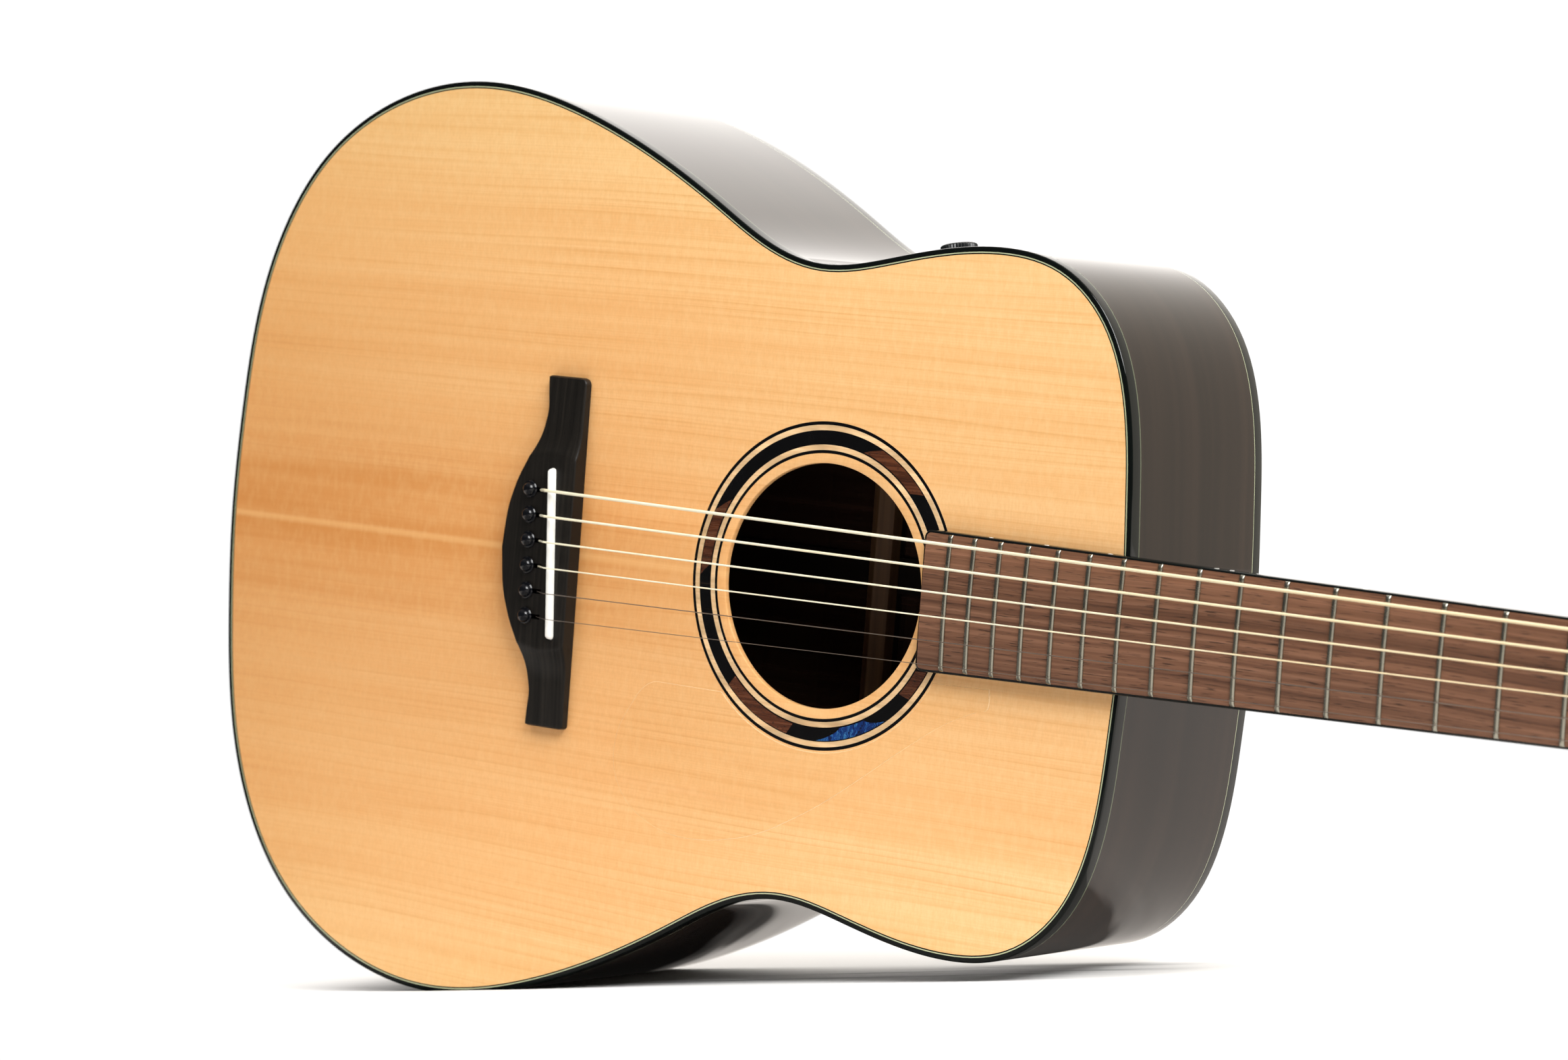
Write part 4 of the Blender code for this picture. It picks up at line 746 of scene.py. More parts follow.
# A darker copy of the cream for the side line along the top: a painted shade.
CREAM_PAINTED_DARK = plain("side_line_cream_painted_shade", (0.12, 0.135, 0.085), roughness=0.32, vary=0.1,
                   scale=90, tint=0.1, Specular_IOR_Level=0.0, **LACQUER)
TAN = grained(
    "tan_rosette_line", ((0.68, 0.42, 0.20), (0.80, 0.53, 0.28), (0.88, 0.64, 0.37)),
    across="z", stripes=900.0, along=60.0, roughness=(0.28, 0.1),
    coat=0.4, coat_roughness=0.1, bump=0.0)
INLAY_BLACK = plain("black_inlay_gloss", (0.0024, 0.0024, 0.0028), roughness=0.26, vary=0.1,
                    scale=90, tint=0.2, Coat_Weight=0.35, Coat_Roughness=0.05,
                    Specular_IOR_Level=0.15)
PIN_BLACK = plain("black_pin_gloss", (0.0030, 0.0034, 0.0050), roughness=0.20, vary=0.03,
                  scale=300, tint=0.2, Coat_Weight=1.0, Coat_Roughness=0.14,
                  Specular_IOR_Level=0.0)
KNOB_BLACK = plain("black_knob_moulded", (0.006, 0.008, 0.009), roughness=0.34, vary=0.12,
                   scale=300, tint=0.15, bump=0.00002)
CASE_BLACK = plain("black_case_moulded", (0.015, 0.015, 0.016), roughness=0.45, vary=0.12,
                   scale=120, tint=0.15, bump=0.00004)
BONE = plain("bone_polished", (0.95, 0.935, 0.88), roughness=0.26, vary=0.12,
             scale=160, tint=0.04, bump=0.00001, Coat_Weight=0.3, Coat_Roughness=0.1)
DOT_WHITE = plain("white_dot", (0.86, 0.85, 0.80), roughness=0.3, vary=0.1, scale=300, tint=0.04)
FRET_METAL = plain("nickel_silver_polished", (0.44, 0.43, 0.36), roughness=0.26, vary=0.12,
                   scale=180, tint=0.05, Metallic=1.0)
CHROME = plain("chrome_plate", (0.78, 0.79, 0.81), roughness=0.10, vary=0.08,
               scale=120, tint=0.04, Metallic=1.0)
STEEL = plain("plain_string_steel", (0.30, 0.25, 0.21), roughness=0.30, vary=0.14,
              scale=200, tint=0.08, Metallic=0.8)
ROD_STEEL = plain("rod_steel", (0.45, 0.45, 0.46), roughness=0.4, vary=0.2,
                  scale=120, tint=0.1, Metallic=1.0)
SCREW = plain("screw_steel", (0.70, 0.70, 0.71), roughness=0.22, vary=0.14,
              scale=260, tint=0.06, Metallic=1.0)
BRONZE = wound()
ABALONE = abalone()
FILM = clear_film()

# -------------------------------- CAD pieces that keep their meshes
for names, mat in (
    (("lining_top", "lining_back", "neck_block", "end_block", "bridge_plate"), BLOCK),
    (("x_brace", "transverse_brace", "tone_bar_1", "tone_bar_2"), BRACE),
    (("back_bracing",), ladder_spruce()),
    (("preamp",), CASE_BLACK),
    (("truss_rod",), ROD_STEEL),
):
    for name in names:
        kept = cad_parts[name]
        kept.data.materials.clear()
        kept.data.materials.append(mat)


# ------------------------------------------------------------------ body box
def round_hole(radius, angle):
    """(x, z) at an angle in radians about the sound hole."""
    return HOLE_X + radius * math.cos(angle), radius * math.sin(angle)


def hole_ring(radius, depth):
    spots = [round_hole(radius, math.tau * i / 168) for i in range(168)]
    return [(x, TOP + depth, z) for x, z in spots]


def soundboard_shell():
    shell = Shell()
    rim = offset_loop(BINDING_W + 2 * LINE_W + 0.02)
    edge, edge_low = (shell.loop([(x, y, z) for x, z in rim]) for y in (TOP, TOP + TOP_T))
    holes = [keyhole(pin, slot_reach=4.6) for pin in PINS]
    holes_top, holes_low = ([shell.loop([(x, y, z) for x, z in hole]) for hole in holes]
                            for y in (TOP, TOP + TOP_T))
    # Rosette channel, then the rounded edge of the sound hole: (radius, depth).
    groove_outer, groove_inner = ROSETTE_OUTER + 0.05, ROSETTE_INNER - 0.05
    stair = [shell.loop(hole_ring(radius, depth)) for radius, depth in (
        (groove_outer, 0.0), (groove_outer, 1.7), (groove_inner, 1.7), (groove_inner, 0.0),
        (52.0, 0.0), (51.68, 0.1), (51.53, 0.35), (HOLE_R, 0.7), (HOLE_R, 2.5),
        (51.65, 2.85), (51.95, TOP_T))]
    for a, b in zip(stair, stair[1:]):
        shell.strip(a, b)
    shell.cap(edge, stair[0], *holes_top)
    shell.cap(edge_low, stair[-1], *holes_low)
    shell.strip(edge, edge_low)
    for a, b in zip(holes_top, holes_low):
        shell.strip(a, b)
    return shell


def binding_shell(face):
    """Edge binding, its outer corner rounded; face is from_top or from_back."""
    section = []
    for i in range(5):
        a = math.pi / 2 * i / 4
        section.append((BINDING_ROUND * (1 - math.cos(a)),
                        face(BINDING_ROUND * (1 - math.sin(a)))))
    section += [(BINDING_W, face(0.0)), (BINDING_W, face(BINDING_H)), (0.0, face(BINDING_H))]
    return rim_strip(section)


piece("soundboard_spruce", soundboard_shell(), SPRUCE, "soundboard")
piece("back_plate_wood", plate(offset_loop(BINDING_W + 0.03), from_back(BACK_T), from_back(0.0)),
      BACK_WOOD, "back_plate")
piece("binding_top_edge", binding_shell(from_top), BLACK_EDGE, "binding_top")
piece("binding_back_edge", binding_shell(from_back), BLACK_EDGE, "binding_back")

# Thin lines round the body: name, insets, face, depths from it, material.
LINE_GAP, LINE_JOIN = 0.01, BINDING_W + LINE_W
for name, (inset_0, inset_1), face, (depth_0, depth_1), mat in (
    ("purfling_cream", (BINDING_W + LINE_GAP, LINE_JOIN - LINE_GAP), from_top, (0.0, 1.8), CREAM),
    ("purfling_black", (LINE_JOIN + LINE_GAP, LINE_JOIN + LINE_W - LINE_GAP), from_top,
     (0.0, 1.8), INLAY_BLACK),
    ("side_line_top", (0.0, 1.2), from_top, (BINDING_H + 0.02, BINDING_H + 0.55), CREAM_PAINTED_DARK),
    ("side_line_back", (0.0, 1.2), from_back, (BINDING_H + 0.36, BINDING_H + 0.02), CREAM),
):
    piece(name, rim_strip([(inset_0, face(depth_0)), (inset_1, face(depth_0)),
                           (inset_1, face(depth_1)), (inset_0, face(depth_1))]),
          mat)


def rib_shell(side):
    """One side wall; side is 1 for bass and -1 for treble."""
    y_top = TOP + BINDING_H + 0.57
    back_gap = BINDING_H + 0.38
    rings = []
    for (x, z), (normal_x, normal_z) in zip(*half_outline(230, z_tail=0.02, z_neck=9.6)):
        inner_x, inner_z = x - normal_x * RIB_T, max(z - normal_z * RIB_T, 0.02)
        rings.append([
            (x, y_top, side * z), (inner_x, y_top, side * inner_z),
            (inner_x, y_back(inner_x) - back_gap, side * inner_z),
            (x, y_back(x) - back_gap, side * z)])
    return loft(rings)


piece("side_bass_wood", rib_shell(1), SIDE_WOOD, "side_bass")
piece("side_treble_wood", rib_shell(-1), SIDE_WOOD, "side_treble")


# ------------------------------------------------------------------- rosette
def annulus(inner, outer, proud):
    gap, edge, depth = 0.01, 0.05, 1.6
    return torus_like([
        hole_ring(inner + gap, depth), hole_ring(inner + gap, edge - proud),
        hole_ring(inner + edge, -proud), hole_ring(outer - edge, -proud),
        hole_ring(outer - gap, edge - proud), hole_ring(outer - gap, depth)])


# Rings: name, inner and outer radius, proud height, material, slot, CAD piece.
for name, inner, outer, proud, mat, slot, replaced in (
    ("outer_black", 67.6, ROSETTE_OUTER, 0.0, INLAY_BLACK, "cream_inlay", "rosette_ring_outer"),
    ("outer_cream", 65.3, 67.6, 0.01, TAN, "cream_inlay", None),
    ("band_black", 59.3, 65.3, 0.0, INLAY_BLACK, "fingerboard_rosewood", "rosette_band"),
    ("inner_cream", 57.0, 59.3, 0.01, TAN, "cream_inlay", None),
    ("inner_black", ROSETTE_INNER, 57.0, 0.0, INLAY_BLACK, "cream_inlay", "rosette_ring_inner"),
):
    piece("rosette_" + name, annulus(inner, outer, proud), mat, replaced)


def inlay(name, start, end, mat, bow=1.0, inner=59.95, outer=64.85):
    """A curved tile; start and end give its angle in degrees at the inner and outer radius."""
    def arc(radius, first, last):
        return [round_hole(radius, math.radians(first + (last - first) * k / 26))
                for k in range(27)]

    def side(angles, fractions):
        return [round_hole(inner + (outer - inner) * t,
                           math.radians(angles[0] + (angles[1] - angles[0]) * t ** bow))
                for t in fractions]

    outward = [k / 7 for k in range(1, 7)]
    outline = (arc(outer, start[1], end[1]) + side(end, [1 - t for t in outward])
               + arc(inner, end[0], start[0]) + side(start, outward))
    piece(name, plate(outline, from_top(-0.04), from_top(0.9)), mat)


inlay("rosette_tile_1", (45.1, 40.8), (73.5, 65.7), INLAY_WOOD)
inlay("rosette_tile_2", (148.0, 155.4), (176.6, 181.3), INLAY_WOOD)
inlay("rosette_tile_3", (-134.4, -134.0), (-99.1, -101.2), INLAY_WOOD)
inlay("rosette_tile_4", (-42.3, -40.3), (-29.9, -27.4), INLAY_WOOD)
inlay("rosette_shell", (-75.4, -87.0), (-62.7, -54.1), ABALONE, bow=1.5)

# ----------------------------------------------------------------- pickguard
# Outer edge from the fingerboard end round to the sound hole: (x, z).
GUARD = [
    (187.2, -33.2), (187.1, -41.2), (179.6, -43.9), (164.5, -51.0), (144.0, -64.6),
    (110.0, -88.6), (87.9, -101.4), (73.2, -108.3), (58.2, -112.6), (43.0, -115.0),
    (28.0, -115.0), (14.0, -111.5), (1.0, -104.0), (-7.0, -92.0), (-8.0, -78.0),
    (-2.0, -64.0), (12.0, -50.0)]
GUARD_HOLE_R = 69.8
GUARD_CENTRE = np.array((60.0, -80.0))
ARC_START, ARC_END = math.radians(226.0), math.radians(331.0)


def guard_loop(shrink):
    p = np.array([GUARD[0]] + GUARD + [round_hole(GUARD_HOLE_R, ARC_START)])
    outer = []
    for i in range(1, len(p) - 2):
        a, b, c, d = p[i - 1:i + 3]
        for t in (k / 6 for k in range(6)):
            outer.append(0.5 * (2 * b + (c - a) * t + (2 * a - 5 * b + 4 * c - d) * t * t
                                + (3 * b - a - 3 * c + d) * t ** 3))
    outer.append(p[-2])
    outer = [tuple(q - shrink * (q - GUARD_CENTRE) / np.linalg.norm(q - GUARD_CENTRE))
             for q in outer]
    return outer + [round_hole(GUARD_HOLE_R + shrink, ARC_START + (ARC_END - ARC_START) * i / 70)
                    for i in range(71)]


guard = Shell()
low, middle, high = (guard.loop([(x, TOP - height, z) for x, z in guard_loop(shrink)])
                     for height, shrink in ((0.12, 0.0), (0.30, 0.0), (0.50, 0.35)))
guard.cap(low)
guard.strip(low, middle)
guard.strip(middle, high)
guard.cap(high)
piece("pickguard_film", guard, FILM, "pickguard")

# --------------------------------------------------------------------- neck
NECK_DEPTH = 14.5                    # at the nut
FOOT = 2.2                           # half width of the flat along the neck's back
HEEL_X = X_NECK + 0.35
# Headstock: distance from its start, half width, thickness, squareness (0 to 1).
HEAD_ROWS = smooth_rows((
    (0.0, 21.5, 14.6, 0.15), (9.0, 22.2, 15.2, 0.55), (18.0, 24.8, 14.9, 0.9),
    (27.0, 28.6, HEAD_T, 1.0), (37.0, 31.0, HEAD_T, 1.0),
    (174.0, 36.0, HEAD_T, 1.0), (181.0, 33.5, HEAD_T, 1.0), (HEAD_LENGTH, 28.0, HEAD_T, 1.0)), 74)
# Headstock axes: along it, and out of its face.
HEAD_ALONG = Vector((math.cos(HEAD_TILT), math.sin(HEAD_TILT), 0.0))
HEAD_OUT = Vector((math.sin(HEAD_TILT), -math.cos(HEAD_TILT), 0.0))
HEAD_START = Vector((X_NUT + 5.0, TOP, 0.0))


def head_point(along, z, height):
    spot = HEAD_START + HEAD_ALONG * along + HEAD_OUT * height
    return Vector((spot.x, spot.y, z))


def half_width(x):
    return NECK_W_NUT / 2 + NECK_W_GROWTH / 2 * (X_NUT - x)


def neck_ring(x, y, tilt, half_w, depth, foot, shape, count=18):
    """A cross-section; shape runs from 0 (round) by 1 (square-sided) to 2 (heel)."""
    bass = []
    for i in range(count + 1):
        v = 1 - (1 - i / count) ** 1.6
        foot_round = math.sqrt(max(0.0, 1 - max(0.0, (v - 0.97) / 0.03) ** 2))
        round_w = max(foot * foot_round * 0.999, half_w * math.sqrt(max(0.0, 1 - v**2.3)))
        if shape <= 1:
            corner = max(0.0, (v - 0.86) / 0.14)
            square_w = half_w - 2.0 * (1 - math.sqrt(max(0.0, 1 - corner * corner)))
            width = round_w + (square_w - round_w) * shape
        else:
            heel_w = foot + (half_w - foot) * (1 - v) ** 1.9
            width = round_w + (heel_w - round_w) * (shape - 1)
        below = v * depth
        bass.append((x - math.sin(tilt) * below, y + math.cos(tilt) * below, width))
    return bass + [(px, py, -width) for px, py, width in bass[::-1]]


def neck_shell():
    rings = []
    for x in np.concatenate([np.linspace(HEEL_X, 300.0, 26), np.linspace(304.0, 342.0, 10),
                             np.linspace(360.0, 605.0, 14)]):
        shaft = NECK_DEPTH + 2.6 * (X_NUT - x) / 330.0
        heel = y_back(X_NECK) - 6.0 - TOP - 0.06 * (x - X_NECK)
        t = min(1.0, max(0.0, (x - 274.5) / 63.5))
        depth = shaft + (heel - shaft) * (1 - t) ** 3.0
        heel_foot = 14.5 * math.sqrt(max(0.0, 1 - ((x - HEEL_X) / 28.0) ** 2))
        heel_share = max(0.0, (depth - shaft) / (heel - shaft))
        rings.append(neck_ring(x, TOP, 0.0, half_width(x) - 0.05, depth, max(FOOT, heel_foot),
                               1 + heel_share if heel_share > 1e-3 else 0.0))
    for along, half_w, thickness, square in HEAD_ROWS:
        spot = head_point(along, 0.0, 0.0)
        rings.append(neck_ring(spot.x, spot.y, HEAD_TILT, half_w, thickness, FOOT,
                               min(1.0, max(0.0, square))))
    return loft(rings)


def veneer_loop(grow, height):
    side = [(along, half_w + grow) for along, half_w, _, _ in HEAD_ROWS if along >= 0.4]
    side[-1] = (HEAD_LENGTH + grow, side[-1][1])
    outline = side + [(along, -width) for along, width in side[::-1]]
    return [head_point(along, z, height) for along, z in outline]


piece("neck_wood", neck_shell(), NECK_WOOD, "neck", smooth=50.0)
piece("headstock_veneer",
      loft([veneer_loop(*step) for step in ((0.04, -1.3), (0.04, -0.25), (-0.22, 0.05))]),
      VENEER)


# --------------------------------------------------- fingerboard, frets, nut
def crown(z):
    return z * z / (2 * BOARD_R)


def fret_x(number):
    return X_NUT - SCALE_LENGTH * (1 - 2 ** (-number / 12))


EDGE, CORNER = 1.05, 3.2


def board_half(x, inset):
    """Half width of the board at x, its end corners rounded."""
    return half_width(x) - inset - rounded(x - (BOARD_END + inset), CORNER - inset)


def board_stations(inset):
    radius = CORNER - inset
    near = [BOARD_END + inset + radius * (1 - math.cos(math.pi / 2 * i / 6)) for i in range(7)]
    return near + list(np.linspace(near[-1] + 4.0, X_NUT, 34))


def board_core():
    rings = []
    for x in board_stations(EDGE + 0.02):
        half_w = board_half(x, EDGE + 0.02)
        rings.append([(x, BOARD_BOTTOM, -half_w), (x, BOARD_BOTTOM, half_w)] + [
            (x, BOARD_TOP + crown(f * half_w), f * half_w) for f in np.linspace(1, -1, 17)])
    return loft(rings)


def board_edge():
    """A band along both sides and the end over the soundboard, open at the nut."""
    shell = Shell()
    levels = []
    # (inset, drop below the crowned face); None is the board's underside.
    for inset, drop in ((0.0, None), (0.0, 0.55), (0.14, 0.22), (0.42, 0.03),
                        (EDGE, 0.0), (EDGE, None)):
        side = [(x, board_half(x, inset)) for x in board_stations(inset)[::-1]]
        path = side + [(x, -z) for x, z in side[::-1]]
        levels.append(shell.loop([
            (x, BOARD_BOTTOM if drop is None else BOARD_TOP + crown(z) + drop, z)
            for x, z in path]))
    for a, b in zip(levels, levels[1:] + levels[:1]):
        shell.strip(a, b, closed=False)
    shell.faces.append(tuple(row[0] for row in levels))
    shell.faces.append(tuple(row[-1] for row in levels[::-1]))
    return shell


def fret_wires():
    wires = Shell()
    ends = [1.0, 0.985, 0.955, 0.92]
    fractions = ends + list(np.linspace(0.85, -0.85, 15)) + [-f for f in ends[::-1]]
    for number in range(1, FRETS + 1):
        x = fret_x(number)
        half_w = half_width(x) - 1.0
        rings = []
        for f in fractions:
            z = f * half_w
            rise = FRET_H * min(1.0, 0.28 + 0.72 * half_w * (1 - abs(f)))
            y = BOARD_TOP + crown(z)
            arch = [(x - FRET_W / 2 * math.cos(a), y - rise * math.sin(a) ** 0.85, z)
                    for a in (math.pi * k / 10 for k in range(11))]
            rings.append([(x - FRET_W / 2, y + 0.12, z)] + arch + [(x + FRET_W / 2, y + 0.12, z)])
        wires.add(loft(rings))
    return wires


piece("fingerboard_wood", board_core(), BOARD, "fingerboard")
piece("fingerboard_edge", board_edge(), BLACK_EDGE)
piece("fret_wires", fret_wires(), FRET_METAL, "frets", smooth=60.0)

DOT_PITCH = 7.0
dot = lathe([(0, -0.6), (1.0, -0.6), (1.0, 0.03), (0.9, 0.08), (0, 0.1)], 24)
for number, spots in ((3, 1), (5, 1), (7, 1), (9, 1), (12, 2), (15, 1), (17, 1), (19, 1)):
    for k in range(spots):
        x = (fret_x(number) + fret_x(number - 1)) / 2 + (k - (spots - 1) / 2) * DOT_PITCH
        place = Matrix.Translation(Vector((x, BOARD_TOP + 2.9, half_width(x))))
        piece(f"side_dot_{number}_{k + 1}", dot.moved(place), DOT_WHITE)


def string_z(i, x):
    t = (X_NUT - x) / SCALE_LENGTH
    spread = NUT_HALF_SPREAD + (SADDLE_HALF_SPREAD - NUT_HALF_SPREAD) * t
    return spread * (1 - 2 * i / 5) - t


def string_under(x, z):
    """Height of a string's underside."""
    rise = ACTION_NUT + (ACTION_SADDLE - ACTION_NUT) * (X_NUT - x) / SCALE_LENGTH
    return BOARD_TOP - FRET_H - rise + crown(z)


def nut_section(x, drop, trim):
    """The nut's outline at x, its slotted top lowered by drop, its ends cut by trim."""
    half_w = half_width(X_NUT) - 0.1 - trim
    edge = BOARD_TOP + crown(half_w) - 1.0 + drop
    loop = [(half_w, edge + 0.5), (half_w - 0.4, edge)]
    for i in range(6):
        z, radius = string_z(i, X_NUT), STRING_D[i] / 2
        floor = string_under(X_NUT, z) + 0.12
        land = floor - 0.55 - radius + drop
        floor = max(floor, land + 0.02)
        w = radius + 0.12
        groove = [(w + 0.3, land), (w, land + 0.2), (w * 0.95, floor - w * 0.6),
                  (w * 0.55, floor - w * 0.12)]
        loop += [(z + reach, y) for reach, y in groove] + [(z, floor)]
        loop += [(z - reach, y) for reach, y in groove[::-1]]
    loop += [(-half_w + 0.4, edge), (-half_w, edge + 0.5)]
    loop += [(-half_w, TOP - 0.3), (half_w, TOP - 0.3)]
    return [(x, y, z) for z, y in loop]


# Sections: distance past X_NUT, drop, trim.
piece("nut_bone", loft([nut_section(X_NUT + along, drop, trim) for along, drop, trim in (
    (0.30, 0.25, 0.15), (0.5, 0.0, 0.0), (3.6, 0.0, 0.0), (4.5, 0.35, 0.05),
    (4.9, 0.9, 0.25))]), BONE, "nut")

# -------------------------------------------------------------------- bridge
BRIDGE_FRONT, BRIDGE_HALF, BRIDGE_H = X_SADDLE + 3.2, 77.3, 7.2
BRIDGE_BOTTOM = TOP - 0.3
# Tailward edge: (distance from the centre line, distance behind X_SADDLE).
BACK_EDGE = np.array(smooth_rows((
    (0.0, 36.3), (16.0, 34.5), (30.0, 30.0), (42.6, 23.4), (55.0, 18.9),
    (63.0, 17.5), (70.0, 18.2), (BRIDGE_HALF, 18.8)), 90))
SADDLE_T, SADDLE_END_INSET = 3.4, 1.5
SADDLE_BASS = Vector((X_SADDLE - 9.2, 36.9))        # (x, z)
SADDLE_TREBLE = Vector((X_SADDLE - 4.0, -37.9))
SADDLE_SPAN = SADDLE_TREBLE - SADDLE_BASS
SADDLE_LENGTH = SADDLE_SPAN.length
SADDLE_ALONG = SADDLE_SPAN.normalized()


def bridge_back(z):
    return X_SADDLE - float(np.interp(abs(z), BACK_EDGE[:, 0], BACK_EDGE[:, 1]))


def bridge_height(x, z):
    """Full in the middle, a cove past a bowed shoulder, then thin wings."""
    mid_x = (BRIDGE_FRONT + bridge_back(z)) / 2
    half = (BRIDGE_FRONT - bridge_back(z)) / 2
    shoulder = 41.0 + 2.4 * (1 - min(1.0, abs((x - mid_x) / half)) ** 2)
    t = min(1.0, max(0.0, (abs(z) - shoulder) / 15.0))
    wing = 4.1 - 0.5 * max(0.0, abs(z) - 58.0) / 19.0
    return wing + (BRIDGE_H - wing) * (1 - t) ** 2.2


def bridge_shell():
    stations = [0.0]
    for start, end, count in ((0.0, 38.0, 10), (38.0, 62.0, 22), (62.0, 73.4, 6)):
        stations += list(np.linspace(start, end, count + 1)[1:])
    stations += [BRIDGE_HALF - 3.2 * math.cos(math.pi / 2 * k / 9) for k in range(10)]
    stations = [-z for z in stations[:0:-1]] + stations
    edge_steps = [0.0, 0.12, 0.3, 0.55, 0.85, 1.2]
    rings = []
    for z in stations:
        from_end = BRIDGE_HALF - abs(z)
        x0 = bridge_back(z) + rounded(from_end, 0.8)
        x1 = BRIDGE_FRONT - rounded(from_end, 3.2 if z > 0 else 1.8)
        span = x1 - x0
        fractions = [d / span for d in edge_steps]
        fractions += list(np.linspace(1.2 / span, 1 - 1.2 / span, 9)[1:-1])
        fractions += [1 - d / span for d in edge_steps[::-1]]
        ring = [(x0, BRIDGE_BOTTOM, z)]
        for f in fractions:
            x = x0 + f * span
            height = bridge_height(x, z) - rounded(min(f * span, (1 - f) * span), 1.0)
            ring.append((x, BRIDGE_BOTTOM - (height - rounded(from_end, 0.9)), z))
        ring.append((x1, BRIDGE_BOTTOM, z))
        rings.append(ring)
    return loft(rings)


def saddle_x(t):
    """x on the saddle's centre line, t running from its bass end to its treble end."""
    return SADDLE_BASS[0] + (SADDLE_TREBLE[0] - SADDLE_BASS[0]) * t


def saddle_z(t):
    return SADDLE_BASS[1] + (SADDLE_TREBLE[1] - SADDLE_BASS[1]) * t


def saddle_outline(grow):
    """Plan of the saddle: straight sides and round ends."""
    reach = SADDLE_T / 2 + grow
    inset = SADDLE_END_INSET / SADDLE_LENGTH
    loop = []
    for t, sign in ((inset, -1), (1 - inset, 1)):
        for i in range(11):
            a = math.pi * i / 10
            along, side = math.sin(a) * reach * sign, math.cos(a) * reach * sign
            loop.append((saddle_x(t) + SADDLE_ALONG.x * along + SADDLE_ALONG.y * side,
                         saddle_z(t) + SADDLE_ALONG.y * along - SADDLE_ALONG.x * side))
    return loop


def saddle_shell():
    shell = Shell()
    loops = [shell.loop([(x, BRIDGE_BOTTOM - 3.9, z) for x, z in saddle_outline(0.0)])]
    # (growth of the outline, drop below the crest)
    for grow, drop in ((0.0, 1.25), (-0.18, 0.62), (-0.5, 0.22), (-0.95, 0.02), (-1.3, -0.05)):
        points = []
        for x, z in saddle_outline(grow):
            along = (Vector((x, z)) - SADDLE_BASS).dot(SADDLE_ALONG)
            from_end = min(along, SADDLE_LENGTH - along)
            y = string_under(x, z) + 0.15 + drop + rounded(from_end, 3.0) * 0.6
            points.append((x, y, z))
        loops.append(shell.loop(points))
    for a, b in zip(loops, loops[1:]):
        shell.strip(a, b)
    shell.cap(loops[0])
    shell.cap(loops[-1])
    return shell


CUT_FRONT = level(BRIDGE_BOTTOM - 30.0)
saddle_slot = plate(saddle_outline(0.06), CUT_FRONT, level(BRIDGE_BOTTOM - 4.0))
pin_holes = Shell()
for pin in PINS:
    pin_holes.add(plate(keyhole(pin, slot_reach=8.0), CUT_FRONT, level(BRIDGE_BOTTOM + 5.0)))
piece("bridge_ebony", carve("bridge_ebony", bridge_shell(), [saddle_slot, pin_holes]),
      EBONY, "bridge", smooth=26.0)
piece("saddle_bone", saddle_shell(), BONE, "saddle", smooth=60.0)

# Pins: (radius, height) up from the bridge's face, with a domed head.
PIN_SEAT = BRIDGE_BOTTOM - BRIDGE_H - 0.3
PIN_PROFILE = [(0, -25.0), (1.5, -24.9), (2.1, -24.2), (2.6, 0.0), (3.5, 0.0), (3.8, 0.3),
               (3.8, 0.55), (3.45, 0.95), (3.1, 1.0)]
PIN_PROFILE += [(3.1 * math.cos(a), 1.0 + 2.65 * math.sin(a))
                for a in np.linspace(0.10, math.pi / 2 - 0.1, 14)]
PIN_PROFILE += [(0, 3.65)]


def standing_on(spot, axis):
    """Places a shape turned about Z on a spot, with its axis along another direction."""
    turn = Vector((0, 0, 1)).rotation_difference(axis)
    return Matrix.Translation(spot) @ turn.to_matrix().to_4x4()


for number, (x, z) in zip(range(6, 0, -1), PINS):
    place = standing_on(Vector((x, PIN_SEAT, z)), Vector((0, -1, 0)))
    piece(f"pin_{number}_turned", lathe(PIN_PROFILE, 40).moved(place), PIN_BLACK,
          f"bridge_pin_{number}", body=f"bridge_pin_{number}", smooth=40.0)

# -------------------------------------------------------------------- tuners
POST_R = 3.0
WORM_OFFSET, WORM_DEPTH = 6.6, -20.5
# Post places by row from the nut: distance along the headstock, distance from its centre.
POST_PLACES = ((45.0, 21.0), (85.0, 22.5), (125.0, 24.0))
TUNERS = {}
for row, (along, z) in enumerate(POST_PLACES):
    TUNERS[6 - row] = (along, z)
    TUNERS[1 + row] = (along, -z)
# Turned parts: (radius, height above the headstock face).
POST_PROFILE = [
    (0, -25.0), (2.8, -25.0), (POST_R, -24.8), (POST_R, 3.6), (2.86, 4.2), (2.8, 5.0),
    (2.8, 11.2), (2.88, 12.0), (POST_R, 12.7), (POST_R, 14.3), (2.85, 14.7), (2.4, 14.95),
    (1.3, 14.95), (1.1, 14.4), (0, 14.3)]
WASHER_PROFILE = [(4.2, 0.06), (7.1, 0.06), (7.25, 0.2), (7.1, 0.42), (6.6, 0.5), (4.2, 0.5)]
HEX_STEPS = ((5.9, 0.5), (6.3, 0.75), (6.3, 2.5), (5.75, 3.05))
BUSHING_PROFILE = [(3.35, 0.6), (5.0, 0.6), (5.0, 3.1), (4.7, 3.35), (4.0, 3.4), (3.35, 3.3)]
# On the button's axis: (radius, distance out from the post).
SNOUT_PROFILE = [(0, 7.0), (3.3, 7.0), (3.3, 9.6), (2.9, 10.0), (2.2, 10.0), (0, 9.9)]
SCREW_PROFILE = [(0, 34.2), (1.5, 34.2), (1.5, 34.75), (1.2, 34.95), (0.5, 34.95),
                 (0.45, 34.7), (0, 34.7)]
